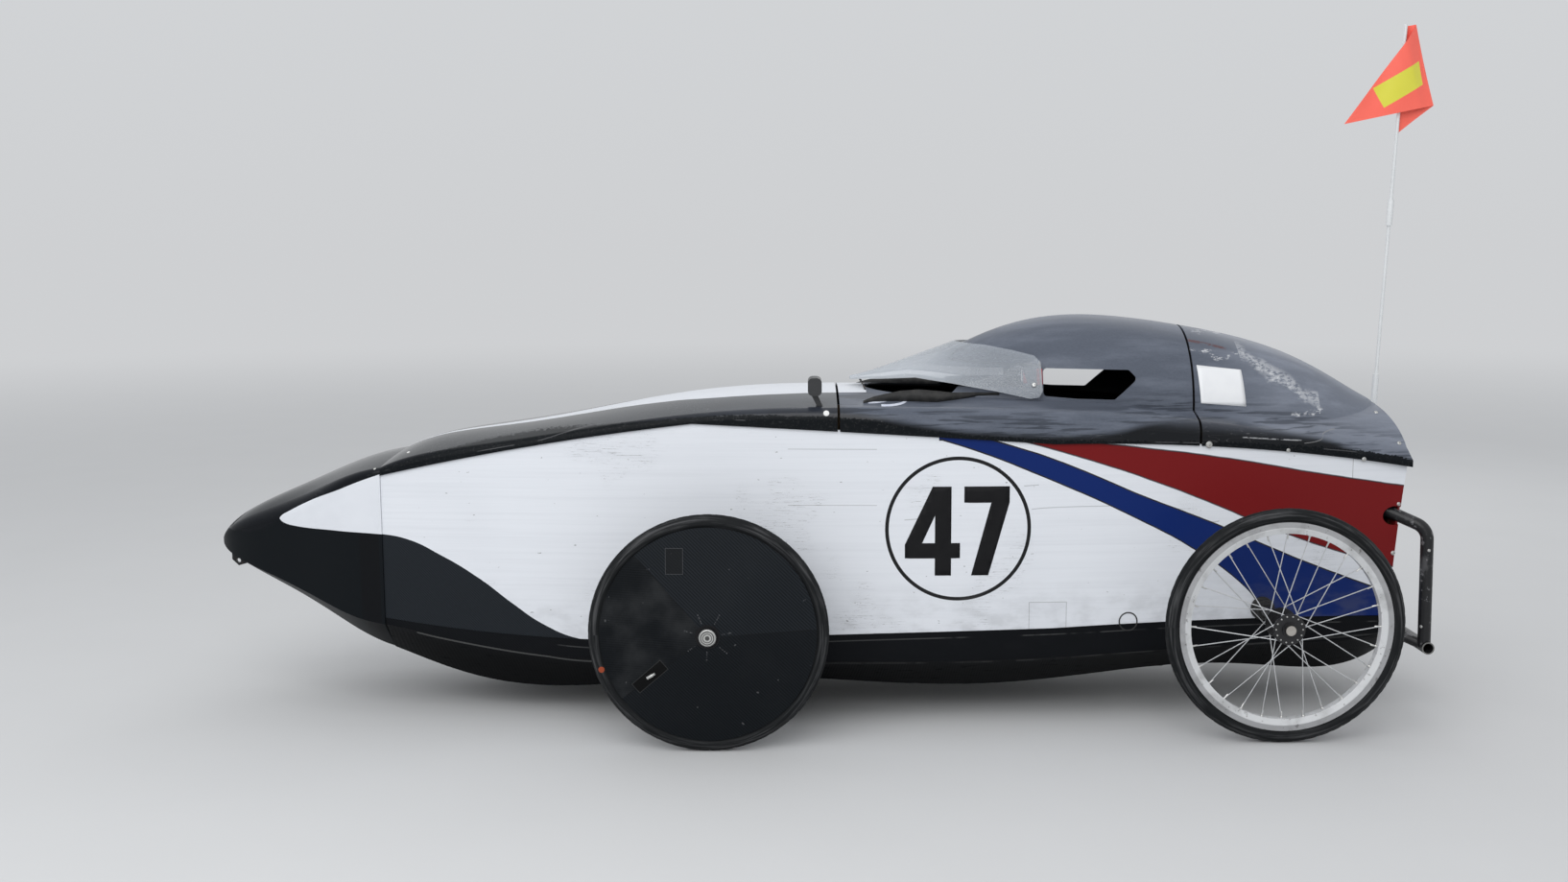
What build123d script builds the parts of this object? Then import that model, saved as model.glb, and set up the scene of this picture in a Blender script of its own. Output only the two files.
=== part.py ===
"""Four-wheel pedal velomobile: slab-sided hull, domed deck, hinged canopy, outboard wheels.

Frame in millimetres: +X runs to the tail, +Y to the rider's right, +Z up.
The origin is on the ground, below the middle of the overall length.
"""
from math import cos, radians, sin, sqrt
import os

from build123d import *

os.makedirs("parts", exist_ok=True)

# Overall layout
OVERALL_LENGTH = 2620.0
NOSE_X = -OVERALL_LENGTH / 2
WHEELBASE = 1132.0
FRONT_AXLE_X = -214.0
REAR_AXLE_X = FRONT_AXLE_X + WHEELBASE
FRONT_HALF_TRACK = 420.0
REAR_HALF_TRACK = 370.0
SEAT_GAP = 0.3
RUNNING_GAP = 0.05
SIDES = {"left": -1, "right": 1}
UPWARD = (Align.CENTER, Align.CENTER, Align.MIN)

# Twenty-inch wheels
TYRE_RADIUS = 235.0
TYRE_SECTION = 28.0
RIM_RADIUS = 209.0
RIM_DEPTH = 23.0
RIM_WIDTH = 24.0
AXLE_HEIGHT = TYRE_RADIUS
AXLE_RADIUS = 7.5

# Hull in plan: two arcs that meet at the widest station
HULL_HALF_WIDTH = 264.0
NOSE_SEAM_HALF_WIDTH = 198.0
TAIL_HALF_WIDTH = 166.0
NOSE_SEAM_X = -907.0
WIDEST_X = 150.0
TAIL_X = 1226.0
WALL = 4.0
LIP_PROUD = WALL + 0.4

# Canopy section between two cross seams
CANOPY_FRONT_X = 43.0
CANOPY_REAR_X = 778.0
SEAM_GAP = 5.0

# Hull lines seen from the side, as (x, z) points that arcs pass through
LIP_LINE = [(-1137, 424), (-1040, 470), (NOSE_SEAM_X, 515), (-590, 579), (-253, 627),
            (110, 607), (480, 583), (860, 570), (TAIL_X + 40, 516)]
SILL_LINE = [(NOSE_SEAM_X, 214), (-700, 190), (-420, 177), (30, 192), (480, 203), (860, 214), (TAIL_X, 206)]
LIP_LAP = 3.0


def half_width(x):
    """Outer half width of the hull's side panels at station x."""
    if x < WIDEST_X:
        run, drop = WIDEST_X - NOSE_SEAM_X, HULL_HALF_WIDTH - NOSE_SEAM_HALF_WIDTH
    else:
        run, drop = TAIL_X - WIDEST_X, HULL_HALF_WIDTH - TAIL_HALF_WIDTH
    radius = (run ** 2 + drop ** 2) / (2 * drop)
    return HULL_HALF_WIDTH - radius + sqrt(radius ** 2 - (x - WIDEST_X) ** 2)


def cross_plane(x):
    """Plane across the hull at x: its own x is the hull's Y and its own y is Z."""
    return Plane(origin=(x, 0, 0), x_dir=(0, 1, 0), z_dir=(1, 0, 0))


def arcs_through(points):
    """Arcs through each run of three points, two segments at a time."""
    for start in range(0, len(points) - 2, 2):
        ThreePointArc(points[start], points[start + 1], points[start + 2])


def side_slab(upper, lower):
    """Slab across the hull between two side lines, each a run of arcs."""
    with BuildPart() as slab:
        with BuildSketch(Plane.XZ):
            with BuildLine():
                arcs_through(upper)
                arcs_through(lower)
                Line(upper[0], lower[0])
                Line(upper[-1], lower[-1])
            make_face()
        extrude(amount=HULL_HALF_WIDTH * 2, both=True)
    return slab.part


def shifted(points, dz):
    return [(x, z + dz) for x, z in points]


def station_slab(x_low, x_high):
    """Everything between two cross planes."""
    with BuildPart() as slab:
        with Locations(((x_low + x_high) / 2, 0, 600)):
            Box(x_high - x_low, 4 * HULL_HALF_WIDTH, 1600)
    return slab.part


# Deck stations: x, virtual shoulder corner, crown on the centre line, shoulder radius
DECK = [(NOSE_SEAM_X, 530, 544, 12), (-640, 588, 605, 14), (-413, 624, 644, 14), (-154, 651, 678, 20),
        (110, 655, 682, 28), (450, 648, 676, 34), (778, 620, 664, 30), (1000, 588, 652, 20),
        (1300, 545, 628, 18)]
DECK_DEPTH = 110.0

# Dome stations: x, half width at its foot, spring height, crown
DOME = [(90, 112, 640, 664), (243, 146, 650, 733), (394, 164, 655, 806), (520, 172, 660, 832),
        (778, 170, 650, 811), (933, 158, 632, 777), (1101, 128, 610, 704), (1240, 80, 590, 634)]
DOME_FOOT_Z = 560.0


def deck_body(inset=0.0):
    """Closed body under the deck's outer skin, or under a skin set in by inset."""
    with BuildPart() as body:
        for x, corner, crown, radius in DECK:
            w = half_width(min(x, TAIL_X)) + LIP_PROUD - inset
            foot = corner - DECK_DEPTH - inset
            with BuildSketch(cross_plane(x)) as section:
                with BuildLine():
                    Polyline((-w, corner - inset), (-w, foot), (w, foot), (w, corner - inset))
                    ThreePointArc((w, corner - inset), (0, crown - inset), (-w, corner - inset))
                make_face()
                fillet(section.vertices().sort_by(Axis.Y)[-2:], radius - inset)
        loft()
    return body.part


def dome_body(inset=0.0):
    """Closed body under the head fairing's outer skin, or a smaller one inside it."""
    with BuildPart() as body:
        for x, w, spring, crown in DOME:
            w = w - inset
            with BuildSketch(cross_plane(x)):
                with BuildLine():
                    Polyline((-w, spring), (-w, DOME_FOOT_Z), (w, DOME_FOOT_Z), (w, spring))
                    ThreePointArc((w, spring), (0, crown - inset), (-w, spring))
                make_face()
        loft()
    return body.part


# Nose cone stations: x, half width, keel, keel half width, chine, shoulder corner, crown, shoulder radius
NOSE = [(NOSE_X, 16, 336, 6, 341, 352, 358, 4), (-1285, 52, 315, 20, 328, 375, 388, 14),
        (-1200, 104, 273, 50, 298, 412, 439, 30), (-1050, 164, 199, 90, 243, 476, 504, 26),
        (NOSE_SEAM_X, NOSE_SEAM_HALF_WIDTH + 3, 136, 130, 200, 529, 543, 14)]


def nose_body(inset=0.0):
    """Closed nose body, or a smaller one inside it."""
    with BuildPart() as body:
        for x, w, keel, keel_w, chine, corner, crown, radius in NOSE:
            x = max(x, NOSE_X + 3 * inset)
            w, keel_w = w - inset, keel_w - inset / 2
            with BuildSketch(cross_plane(x)) as section:
                with BuildLine():
                    Polyline((w, corner - inset), (w, chine), (keel_w, keel + inset),
                             (-keel_w, keel + inset), (-w, chine), (-w, corner - inset))
                    ThreePointArc((w, corner - inset), (0, crown - inset), (-w, corner - inset))
                make_face()
                fillet(section.vertices().sort_by(Axis.Y)[-2:], max(radius - inset, 2))
        loft(ruled=inset > 0)
    return body.part


# Belly pan stations: x, chine, keel, keel half width
PAN = [(NOSE_SEAM_X, 200, 134, 128), (-800, 179, 96, 142), (-700, 160, 69, 150), (-420, 136, 64, 170),
       (100, 136, 73, 188), (480, 142, 76, 182), (860, 158, 103, 158), (TAIL_X, 178, 152, 118)]
PAN_RISE = 120.0


def pan_body(inset=0.0):
    """Closed body inside the belly pan's outer skin; its top is flat and well above the sill."""
    with BuildPart() as body:
        for x, chine, keel, keel_w in PAN:
            w = half_width(x) - inset
            with BuildSketch(cross_plane(x)):
                with BuildLine():
                    Polyline((w, chine + PAN_RISE), (w, chine + inset / 2),
                             (keel_w - inset / 2, keel + inset), (inset / 2 - keel_w, keel + inset),
                             (-w, chine + inset / 2), (-w, chine + PAN_RISE), close=True)
                make_face()
        loft()
    return body.part


deck_outer, deck_inner = deck_body(), deck_body(WALL)
dome_outer, dome_inner = dome_body(), dome_body(WALL)
above_lip = side_slab(shifted(LIP_LINE, 0), shifted(LIP_LINE, 500))

# Tail: the deck rounds down to its lip, and the hull below it is raked forward
DECK_END = [(TAIL_X - 80, 696), (TAIL_X - 26, 630), (TAIL_X - 10, 564), (TAIL_X + 5, 536)]
TAIL_LINE = [(TAIL_X + 2, 560), (TAIL_X - 21, 360), (TAIL_X - 34, 140)]


def ahead_of(points, top, foot):
    """Everything ahead of the tail's arc and the line on from it, between two heights."""
    with BuildPart() as region:
        with BuildSketch(Plane.XZ):
            with BuildLine():
                ThreePointArc(*points[:3])
                Polyline(*points[2:], (points[-1][0], foot), (NOSE_X, foot), (NOSE_X, top),
                         (points[0][0], top), points[0])
            make_face()
        extrude(amount=HULL_HALF_WIDTH * 2, both=True)
    return region.part


def hull_prism(grow=0.0, top=900.0):
    """Everything inside the side panels' outer faces, grown outward."""
    with BuildPart() as prism:
        with BuildSketch(Plane.XY):
            with BuildLine():
                for sign in SIDES.values():
                    for low, high in ((NOSE_SEAM_X, WIDEST_X), (WIDEST_X, TAIL_X)):
                        stations = (low, (low + high) / 2, high)
                        ThreePointArc(*[(x, sign * (half_width(x) + grow)) for x in stations])
                for x in (NOSE_SEAM_X, TAIL_X):
                    w = half_width(x) + grow
                    Line((x, -w), (x, w))
            make_face()
        extrude(amount=top)
    return prism.part


# Nose cone
with BuildPart() as nose_cone:
    add(nose_body())
    add(nose_body(WALL), mode=Mode.SUBTRACT)
nose_cone.part.label = "nose_cone"

# Small tow hook under the tip
HOOK_THICKNESS = 8.0
HOOK_EYE_RADIUS = 5.0
HOOK_EYE = (NOSE_X + 26, 297)
HOOK_LINE = [(NOSE_X + 12, 340), (NOSE_X + 12, 300), (NOSE_X + 26, 286), (NOSE_X + 44, 291),
             (NOSE_X + 52, 330)]
with BuildPart() as nose_hook:
    with BuildSketch(Plane.XZ):
        with BuildLine():
            Polyline(*HOOK_LINE, close=True)
        make_face()
        with Locations(HOOK_EYE):
            Circle(HOOK_EYE_RADIUS, mode=Mode.SUBTRACT)
    extrude(amount=HOOK_THICKNESS / 2, both=True)
    add(nose_body(-SEAT_GAP), mode=Mode.SUBTRACT)
nose_hook.part.label = "nose_hook"

# Deck panels
with BuildPart() as hood:
    add(deck_outer)
    add(deck_inner, mode=Mode.SUBTRACT)
    add(above_lip, mode=Mode.INTERSECT)
    add(station_slab(NOSE_SEAM_X + SEAT_GAP, CANOPY_FRONT_X - SEAM_GAP / 2), mode=Mode.INTERSECT)
hood.part.label = "hood"

with BuildPart() as deck_hollow:
    add(deck_inner)
    add(dome_inner)
    add(ahead_of([(x - WALL, z - WALL) for x, z in DECK_END], 900, 400), mode=Mode.INTERSECT)

with BuildPart() as rear_deck:
    add(deck_outer)
    add(dome_outer)
    add(ahead_of(DECK_END, 900, 400), mode=Mode.INTERSECT)
    add(deck_hollow.part, mode=Mode.SUBTRACT)
    add(above_lip, mode=Mode.INTERSECT)
    add(station_slab(CANOPY_REAR_X + SEAM_GAP / 2, TAIL_X + 10), mode=Mode.INTERSECT)
rear_deck.part.label = "rear_deck"

# Face opening and side windows of the canopy, seen from the side and from above
BROW_Z = 729.0
PILLAR_FRONT_X = 426.0
PILLAR_REAR_X = 468.0
OPENING_HALF_WIDTH = 140.0
OPENING_FRONT_X = 100.0
WINDOW = [(PILLAR_REAR_X, 729), (645, 725), (662, 706), (615, 664), (540, 666), (PILLAR_REAR_X, 672)]
WINDOW_CORNER = 9.0
with BuildPart() as canopy:
    add(deck_outer)
    add(dome_outer)
    add(deck_inner, mode=Mode.SUBTRACT)
    add(dome_inner, mode=Mode.SUBTRACT)
    add(above_lip, mode=Mode.INTERSECT)
    add(station_slab(CANOPY_FRONT_X + SEAM_GAP / 2, CANOPY_REAR_X - SEAM_GAP / 2), mode=Mode.INTERSECT)
    with BuildSketch(Plane.XY.offset(500)):
        with BuildLine():
            Line((PILLAR_FRONT_X, -OPENING_HALF_WIDTH), (PILLAR_FRONT_X, OPENING_HALF_WIDTH))
            Polyline((PILLAR_FRONT_X, OPENING_HALF_WIDTH), (300, OPENING_HALF_WIDTH - 8))
            ThreePointArc((300, OPENING_HALF_WIDTH - 8), (OPENING_FRONT_X, 0), (300, 8 - OPENING_HALF_WIDTH))
            Line((300, 8 - OPENING_HALF_WIDTH), (PILLAR_FRONT_X, -OPENING_HALF_WIDTH))
        make_face()
    extrude(amount=BROW_Z - 500, mode=Mode.SUBTRACT)
    with BuildSketch(Plane.XZ) as window:
        with BuildLine():
            Polyline(*WINDOW, close=True)
        make_face()
        fillet(window.vertices(), WINDOW_CORNER)
        with BuildLine():
            Polyline((OPENING_FRONT_X + 60, BROW_Z), (OPENING_FRONT_X + 60, 690), (PILLAR_FRONT_X, 690),
                     (PILLAR_FRONT_X, BROW_Z), close=True)
        make_face()
    extrude(amount=HULL_HALF_WIDTH * 2, both=True, mode=Mode.SUBTRACT)
canopy.part.label = "canopy"

# Running gear sizes that the hull's holes follow
STEER_RANGE = 25.0
KINGPIN_Y = 345.0
ARM_LENGTH = 62.0
ROD_RADIUS = 7.0
ROD_PIN_RADIUS = 4.0
ROD_EYE_RADIUS = 10.0
ROD_EYE_HEIGHT = 16.0
ROD_PLAY = 0.5
ROD_HOLE_GAP = 5.5
TRACK_ROD_X = FRONT_AXLE_X + ARM_LENGTH
TRACK_ROD_Z = AXLE_HEIGHT - 22
ROD_TRAVEL_X = ARM_LENGTH * (1 - cos(radians(STEER_RANGE)))
BEAM_RADIUS = 19.0
BEAM_WALL = 2.5
REAR_TUBE_RADIUS = 13.0

# Rear bumper frame of round tube
BUMPER_RADIUS = 13.0
BUMPER_WALL = 2.5
BUMPER_FOOT = (1268.0, 146.0)
BUMPER_HALF_WIDTH = 188.0
BUMPER_OVERHANG = 18.0
BUMPER_ARM = [(1266.0, 176.0, 147.0), (1180.0, 112.0, 182.0)]
BUMPER_ARM_RADIUS = 11.0
BUMPER_LEG = [(1172.0, 138.0, 436.0), (1262.0, BUMPER_HALF_WIDTH, 396.0), (1266.0, BUMPER_HALF_WIDTH, 146.0)]
BUMPER_BEND = 34.0
BUMPER_HOLE = (1200.0, 420.0, 52.0, 40.0)


def bumper_leg(sign, radius):
    """One bent leg of the bumper frame, or a thicker one to cut its hole with."""
    with BuildPart() as leg:
        with BuildLine() as path:
            FilletPolyline(*[(x, sign * y, z) for x, y, z in BUMPER_LEG], radius=BUMPER_BEND)
        with BuildSketch(Plane(origin=path.line @ 0, z_dir=path.line % 0)):
            Circle(radius)
        sweep(path=path.line)
    return leg.part


# Flat side panels: a bent band between the sill and the deck's lip
panel_cut = side_slab(shifted(LIP_LINE[2:], LIP_LAP), SILL_LINE[:-1] + [(LIP_LINE[-1][0], SILL_LINE[-1][1])])
hull_end = ahead_of(TAIL_LINE, 900, 0)
for side, sign in SIDES.items():
    with BuildPart() as side_panel:
        with BuildSketch(Plane.XY):
            with BuildLine():
                for inset in (0, WALL):
                    for low, high in ((NOSE_SEAM_X + SEAT_GAP, WIDEST_X), (WIDEST_X, TAIL_X)):
                        middle = (low + high) / 2
                        ThreePointArc(*[(x, sign * (half_width(x) - inset)) for x in (low, middle, high)])
                for x in (NOSE_SEAM_X + SEAT_GAP, TAIL_X):
                    Line((x, sign * half_width(x)), (x, sign * (half_width(x) - WALL)))
            make_face()
        extrude(amount=900)
        add(panel_cut, mode=Mode.INTERSECT)
        add(hull_end, mode=Mode.INTERSECT)
        # Holes for the front beam, the track rod, the rear axle tube and the bumper
        with BuildSketch(Plane.XZ):
            with Locations((FRONT_AXLE_X, AXLE_HEIGHT)):
                Circle(BEAM_RADIUS + SEAT_GAP)
            with Locations((TRACK_ROD_X - ROD_TRAVEL_X / 2, TRACK_ROD_Z)):
                SlotOverall(2 * (ROD_RADIUS + ROD_HOLE_GAP) + ROD_TRAVEL_X, 2 * (ROD_RADIUS + ROD_HOLE_GAP))
            with Locations((REAR_AXLE_X, AXLE_HEIGHT)):
                Circle(REAR_TUBE_RADIUS + SEAT_GAP)
            with Locations(BUMPER_HOLE[:2]):
                Ellipse(BUMPER_HOLE[2] / 2, BUMPER_HOLE[3] / 2)
        extrude(amount=sign * -2 * HULL_HALF_WIDTH, mode=Mode.SUBTRACT)
        add(bumper_leg(sign, BUMPER_RADIUS + SEAT_GAP), mode=Mode.SUBTRACT)
    side_panel.part.label = f"side_panel_{side}"
    export_step(side_panel.part, f"parts/side_panel_{side}.step")

# Belly pan, closed at its rear end
PAN_END_X = TAIL_LINE[2][0] - WALL
below_sill = side_slab(shifted(SILL_LINE, -SEAT_GAP), shifted(SILL_LINE, -400))
with BuildPart() as belly_pan:
    add(pan_body())
    with BuildPart(mode=Mode.PRIVATE) as pan_hollow:
        add(pan_body(WALL))
        add(station_slab(NOSE_SEAM_X - 10, PAN_END_X), mode=Mode.INTERSECT)
    add(pan_hollow.part, mode=Mode.SUBTRACT)
    add(below_sill, mode=Mode.INTERSECT)
    add(hull_end, mode=Mode.INTERSECT)
    add(station_slab(NOSE_SEAM_X + SEAT_GAP, TAIL_X), mode=Mode.INTERSECT)
belly_pan.part.label = "belly_pan"

# Transom between the side panels, from the sill to the deck
with BuildPart() as transom:
    add(hull_end)
    add(hull_end.moved(Location((-WALL, 0, 0))), mode=Mode.SUBTRACT)
    add(hull_prism(-WALL - SEAT_GAP), mode=Mode.INTERSECT)
    add(side_slab(SILL_LINE, shifted(SILL_LINE, 400)), mode=Mode.INTERSECT)
    add(side_slab(shifted(LIP_LINE, -SEAT_GAP), shifted(LIP_LINE, -500)), mode=Mode.INTERSECT)
    for sign in SIDES.values():
        add(bumper_leg(sign, BUMPER_RADIUS + SEAT_GAP), mode=Mode.SUBTRACT)
transom.part.label = "transom"

# Cross bulkhead behind the rider's head
BULKHEAD_X = CANOPY_REAR_X + 6.0
BULKHEAD_THICKNESS = 6.0
with BuildPart() as bulkhead:
    add(deck_body(WALL + SEAT_GAP))
    add(dome_body(WALL + SEAT_GAP))
    add(hull_prism(-WALL - SEAT_GAP, 560))
    add(hull_prism(-WALL - SEAT_GAP), mode=Mode.INTERSECT)
    with Locations((BULKHEAD_X + BULKHEAD_THICKNESS / 2, 0, 900 / 2 + SILL_LINE[5][1])):
        Box(BULKHEAD_THICKNESS, 4 * HULL_HALF_WIDTH, 900, mode=Mode.INTERSECT)
bulkhead.part.label = "bulkhead"

# Seat shell, reclined, standing on the pan's floor
SEAT_HALF_WIDTH = 165.0
SEAT_THICKNESS = 5.0
SEAT_LINE = [(330, 150), (430, 96), (560, 130), (620, 280), (700, 440), (BULKHEAD_X - SEAT_GAP, 600)]
RAIL_LENGTH, RAIL_WIDTH, RAIL_HEIGHT = 70.0, 18.0, 52.0
RAIL_Y = 120.0
with BuildPart() as seat_rails:
    for sign in SIDES.values():
        with Locations((SEAT_LINE[1][0] + 15, sign * RAIL_Y, SEAT_LINE[1][1] + 2 - RAIL_HEIGHT / 2)):
            Box(RAIL_LENGTH, RAIL_WIDTH, RAIL_HEIGHT)
    add(pan_body(WALL + SEAT_GAP), mode=Mode.INTERSECT)

with BuildPart() as seat:
    with BuildSketch(Plane.XZ):
        with BuildLine():
            ThreePointArc(*SEAT_LINE[:3])
            ThreePointArc(SEAT_LINE[2], SEAT_LINE[3], SEAT_LINE[4])
            Line(SEAT_LINE[4], SEAT_LINE[5])
            offset(amount=SEAT_THICKNESS, side=Side.LEFT)
        make_face()
    extrude(amount=SEAT_HALF_WIDTH, both=True)
    add(seat_rails.part)
seat.part.label = "seat"

# Head pad on the bulkhead
PAD_DEPTH, PAD_WIDTH, PAD_HEIGHT = 40.0, 180.0, 90.0
PAD_Z = 690.0
PAD_CORNER = 20.0
with BuildPart() as head_pad:
    with Locations((BULKHEAD_X - SEAT_GAP - PAD_DEPTH / 2, 0, PAD_Z)):
        Box(PAD_DEPTH, PAD_WIDTH, PAD_HEIGHT)
    fillet(head_pad.edges().filter_by(Axis.X), PAD_CORNER)
head_pad.part.label = "head_pad"

# Visor: a clear sheet wrapped round the front of the face opening
VISOR = [(70, 20, 690, 703), (180, 126, 682, 736), (280, 162, 672, 772), (380, 180, 662, 808),
         (470, 186, 660, 843)]
VISOR_SHEET = 2.0
VISOR_SIDE = [(72, 697), (72, 703), (280, 790), (292, 778), (357, 774), (408, 765), (450, 755), (462, 742),
              (464, 683), (457, 671), (438, 668), (374, 682), (283, 697), (207, 707)]


def visor_body(inset=0.0):
    """Closed body under the visor's sheet."""
    with BuildPart() as body:
        for x, w, spring, crown in VISOR:
            w = w - inset
            with BuildSketch(cross_plane(x)):
                with BuildLine():
                    Polyline((w, spring), (w, spring - 60), (-w, spring - 60), (-w, spring))
                    ThreePointArc((w, spring), (0, crown - inset), (-w, spring))
                make_face()
        loft()
    return body.part


with BuildPart() as visor:
    add(visor_body())
    add(visor_body(VISOR_SHEET), mode=Mode.SUBTRACT)
    with BuildSketch(Plane.XZ):
        with BuildLine():
            Polyline(*VISOR_SIDE, close=True)
        make_face()
    extrude(amount=HULL_HALF_WIDTH, both=True, mode=Mode.INTERSECT)
visor.part.label = "visor"

# Bolts and a front strut that hold the visor off the canopy
VISOR_BOLT = (447.0, 696.0)
with BuildPart() as visor_bolts:
    with BuildSketch(Plane.XZ):
        with Locations(VISOR_BOLT):
            Circle(5)
    extrude(amount=192, both=True)
    add(visor_body(VISOR_SHEET + SEAT_GAP), mode=Mode.INTERSECT)
    add(dome_body(-SEAT_GAP), mode=Mode.SUBTRACT)
visor_bolts.part.label = "visor_bolts"

# Mirror on the hood's left shoulder, on a stalk that leans back
MIRROR_X = -5.0
MIRROR_Y = -236.0
MIRROR_Z = 701.0
MIRROR_DEPTH, MIRROR_WIDTH, MIRROR_HEIGHT = 28.0, 60.0, 36.0
MIRROR_CORNER = 10.0
STALK = 9.0
STALK_LINE = [(-11, -10), (2, -10), (26, -62), (15, -62)]
with BuildPart() as mirror:
    with Locations((MIRROR_X, MIRROR_Y, MIRROR_Z)):
        Box(MIRROR_DEPTH, MIRROR_WIDTH, MIRROR_HEIGHT)
    fillet(mirror.edges().filter_by(Axis.Y), MIRROR_CORNER)
    with BuildSketch(Plane.XZ.offset(-MIRROR_Y)):
        with BuildLine():
            Polyline(*[(MIRROR_X + dx, MIRROR_Z + dz) for dx, dz in STALK_LINE], close=True)
        make_face()
    extrude(amount=STALK / 2, both=True)
    add(deck_body(-SEAT_GAP), mode=Mode.SUBTRACT)
mirror.part.label = "mirror"

# Canopy hinges along the right gunwale
HINGE_Y = 277.0
HINGE_Z = 568.0
HINGE_STATIONS = {180.0: 616.0, 640.0: 591.0}
BARREL_RADIUS = 6.0
HINGE_PIN_RADIUS = 2.5
BARREL_LENGTH = 20.0
BARREL_GAP = 0.3
LEAF = 3.0
LEAF_HEIGHT = 24.0
LEAF_TOP = HINGE_Z - 10
LEAF_REACH = 40.0
with BuildPart() as hinge_leaves:
    for x in HINGE_STATIONS:
        with Locations((x, HINGE_Y - LEAF_REACH / 2, LEAF_TOP - LEAF_HEIGHT / 2)):
            Box(3 * BARREL_LENGTH, 3 * LEAF_REACH, LEAF_HEIGHT)
    add(hull_prism(LEAF, LEAF_TOP), mode=Mode.INTERSECT)

with BuildPart() as hinge_fixed:
    add(hinge_leaves.part)
    for x in HINGE_STATIONS:
        with Locations((x, HINGE_Y - LEAF_REACH / 2, HINGE_Z)):
            Box(BARREL_LENGTH, LEAF_REACH, 16, align=(Align.CENTER, Align.CENTER, Align.MAX))
        with Locations(Location((x, HINGE_Y, HINGE_Z), (0, 90, 0))):
            Cylinder(BARREL_RADIUS, BARREL_LENGTH)
            Cylinder(HINGE_PIN_RADIUS, 3 * BARREL_LENGTH)
    add(hull_prism(), mode=Mode.SUBTRACT)
hinge_fixed.part.label = "hinge_fixed"

LID_LEAF_BITE = 8.0
LID_LEAF_HEIGHT = 20.0
with BuildPart() as hinge_lid:
    for x, arm_z in HINGE_STATIONS.items():
        foot_y = half_width(x) + LIP_PROUD - LID_LEAF_BITE
        tip_y = HINGE_Y + BARREL_RADIUS
        for end in (-1, 1):
            barrel_x = x + end * (BARREL_LENGTH + BARREL_GAP)
            with Locations((barrel_x, (foot_y + tip_y) / 2, arm_z)):
                Box(BARREL_LENGTH, tip_y - foot_y, LID_LEAF_HEIGHT)
            with Locations((barrel_x, tip_y - LEAF, (HINGE_Z + arm_z) / 2)):
                Box(BARREL_LENGTH, 2 * LEAF, arm_z - HINGE_Z)
            with Locations(Location((barrel_x, HINGE_Y, HINGE_Z), (0, 90, 0))):
                Cylinder(BARREL_RADIUS, BARREL_LENGTH)
                Cylinder(HINGE_PIN_RADIUS + RUNNING_GAP, BARREL_LENGTH, mode=Mode.SUBTRACT)
    add(deck_body(-SEAT_GAP / 2), mode=Mode.SUBTRACT)
hinge_lid.part.label = "hinge_lid"

# Front beam: a tube through the hull with a kingpin boss at each end
LUG_THICKNESS = 8.0
LUG_RADIUS = 16.0
PLATE_OFFSET = 26.0
STUB_RADIUS = 13.0
HUB_INNER = 30.0
HUB_CAP = 34.0
BOSS_RADIUS = 14.0
BOSS_HALF_HEIGHT = 30.0
KINGPIN_RADIUS = 6.0
with BuildPart() as front_beam:
    with Locations(Location((FRONT_AXLE_X, 0, AXLE_HEIGHT), (90, 0, 0))):
        Cylinder(BEAM_RADIUS, 2 * KINGPIN_Y)
        Cylinder(BEAM_RADIUS - BEAM_WALL, 2 * KINGPIN_Y, mode=Mode.SUBTRACT)
    for sign in SIDES.values():
        with Locations((FRONT_AXLE_X, sign * KINGPIN_Y, AXLE_HEIGHT)):
            Box(2 * BEAM_RADIUS + 4, 2 * BOSS_RADIUS, 2 * BOSS_HALF_HEIGHT, mode=Mode.SUBTRACT)
            Cylinder(BOSS_RADIUS + 10, 2 * BOSS_HALF_HEIGHT)
            Cylinder(KINGPIN_RADIUS + RUNNING_GAP, 2 * BOSS_HALF_HEIGHT, mode=Mode.SUBTRACT)
front_beam.part.label = "front_beam"


# Wheels: profiles lie in a plane whose own x points outboard and own y points up
HUB_BORE = AXLE_RADIUS + RUNNING_GAP
TYRE_SEAT = RIM_RADIUS + SEAT_GAP
RIM_INNER = RIM_RADIUS - RIM_DEPTH


def wheel_plane(x, half_track, sign):
    return Plane(origin=(x, sign * half_track, AXLE_HEIGHT), x_dir=(0, sign, 0), z_dir=(sign, 0, 0))


def spun(plane, draw):
    """Solid of revolution about the wheel's axle from the profile that draw makes."""
    with BuildPart() as solid:
        with BuildSketch(plane):
            draw()
        revolve(axis=Axis(plane.origin, (0, 1, 0)))
    return solid.part


def outline(*points):
    """Closed polygon face in the sketch that is open."""
    with BuildLine() as edge:
        Polyline(*points, close=True)
    make_face(edge.line.edges())


def tyre_profile():
    half = TYRE_SECTION / 2
    outline((-half + 4, TYRE_SEAT), (-half, TYRE_RADIUS - 16), (-half + 4, TYRE_RADIUS - 4), (0, TYRE_RADIUS),
            (half - 4, TYRE_RADIUS - 4), (half, TYRE_RADIUS - 16), (half - 4, TYRE_SEAT))


def rim_profile():
    half, inner = RIM_WIDTH / 2, RIM_WIDTH / 2 - 4
    outline((-half, RIM_RADIUS), (half, RIM_RADIUS), (half, RIM_RADIUS - 12), (inner, RIM_INNER),
            (-inner, RIM_INNER), (-half, RIM_RADIUS - 12))


# Front wheel: two dished disc covers that lap the rim's flanks and are joined at the hub
DISC_SHEET = 1.5
DISC_HUB_RADIUS = 24.0
DISC_OUT = 30.0
DISC_IN = 24.0
DISC_EDGE = RIM_WIDTH / 2 + SEAT_GAP
DISC_RADIUS = RIM_RADIUS + 2
FRONT_HUB_END = 40.0


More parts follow.
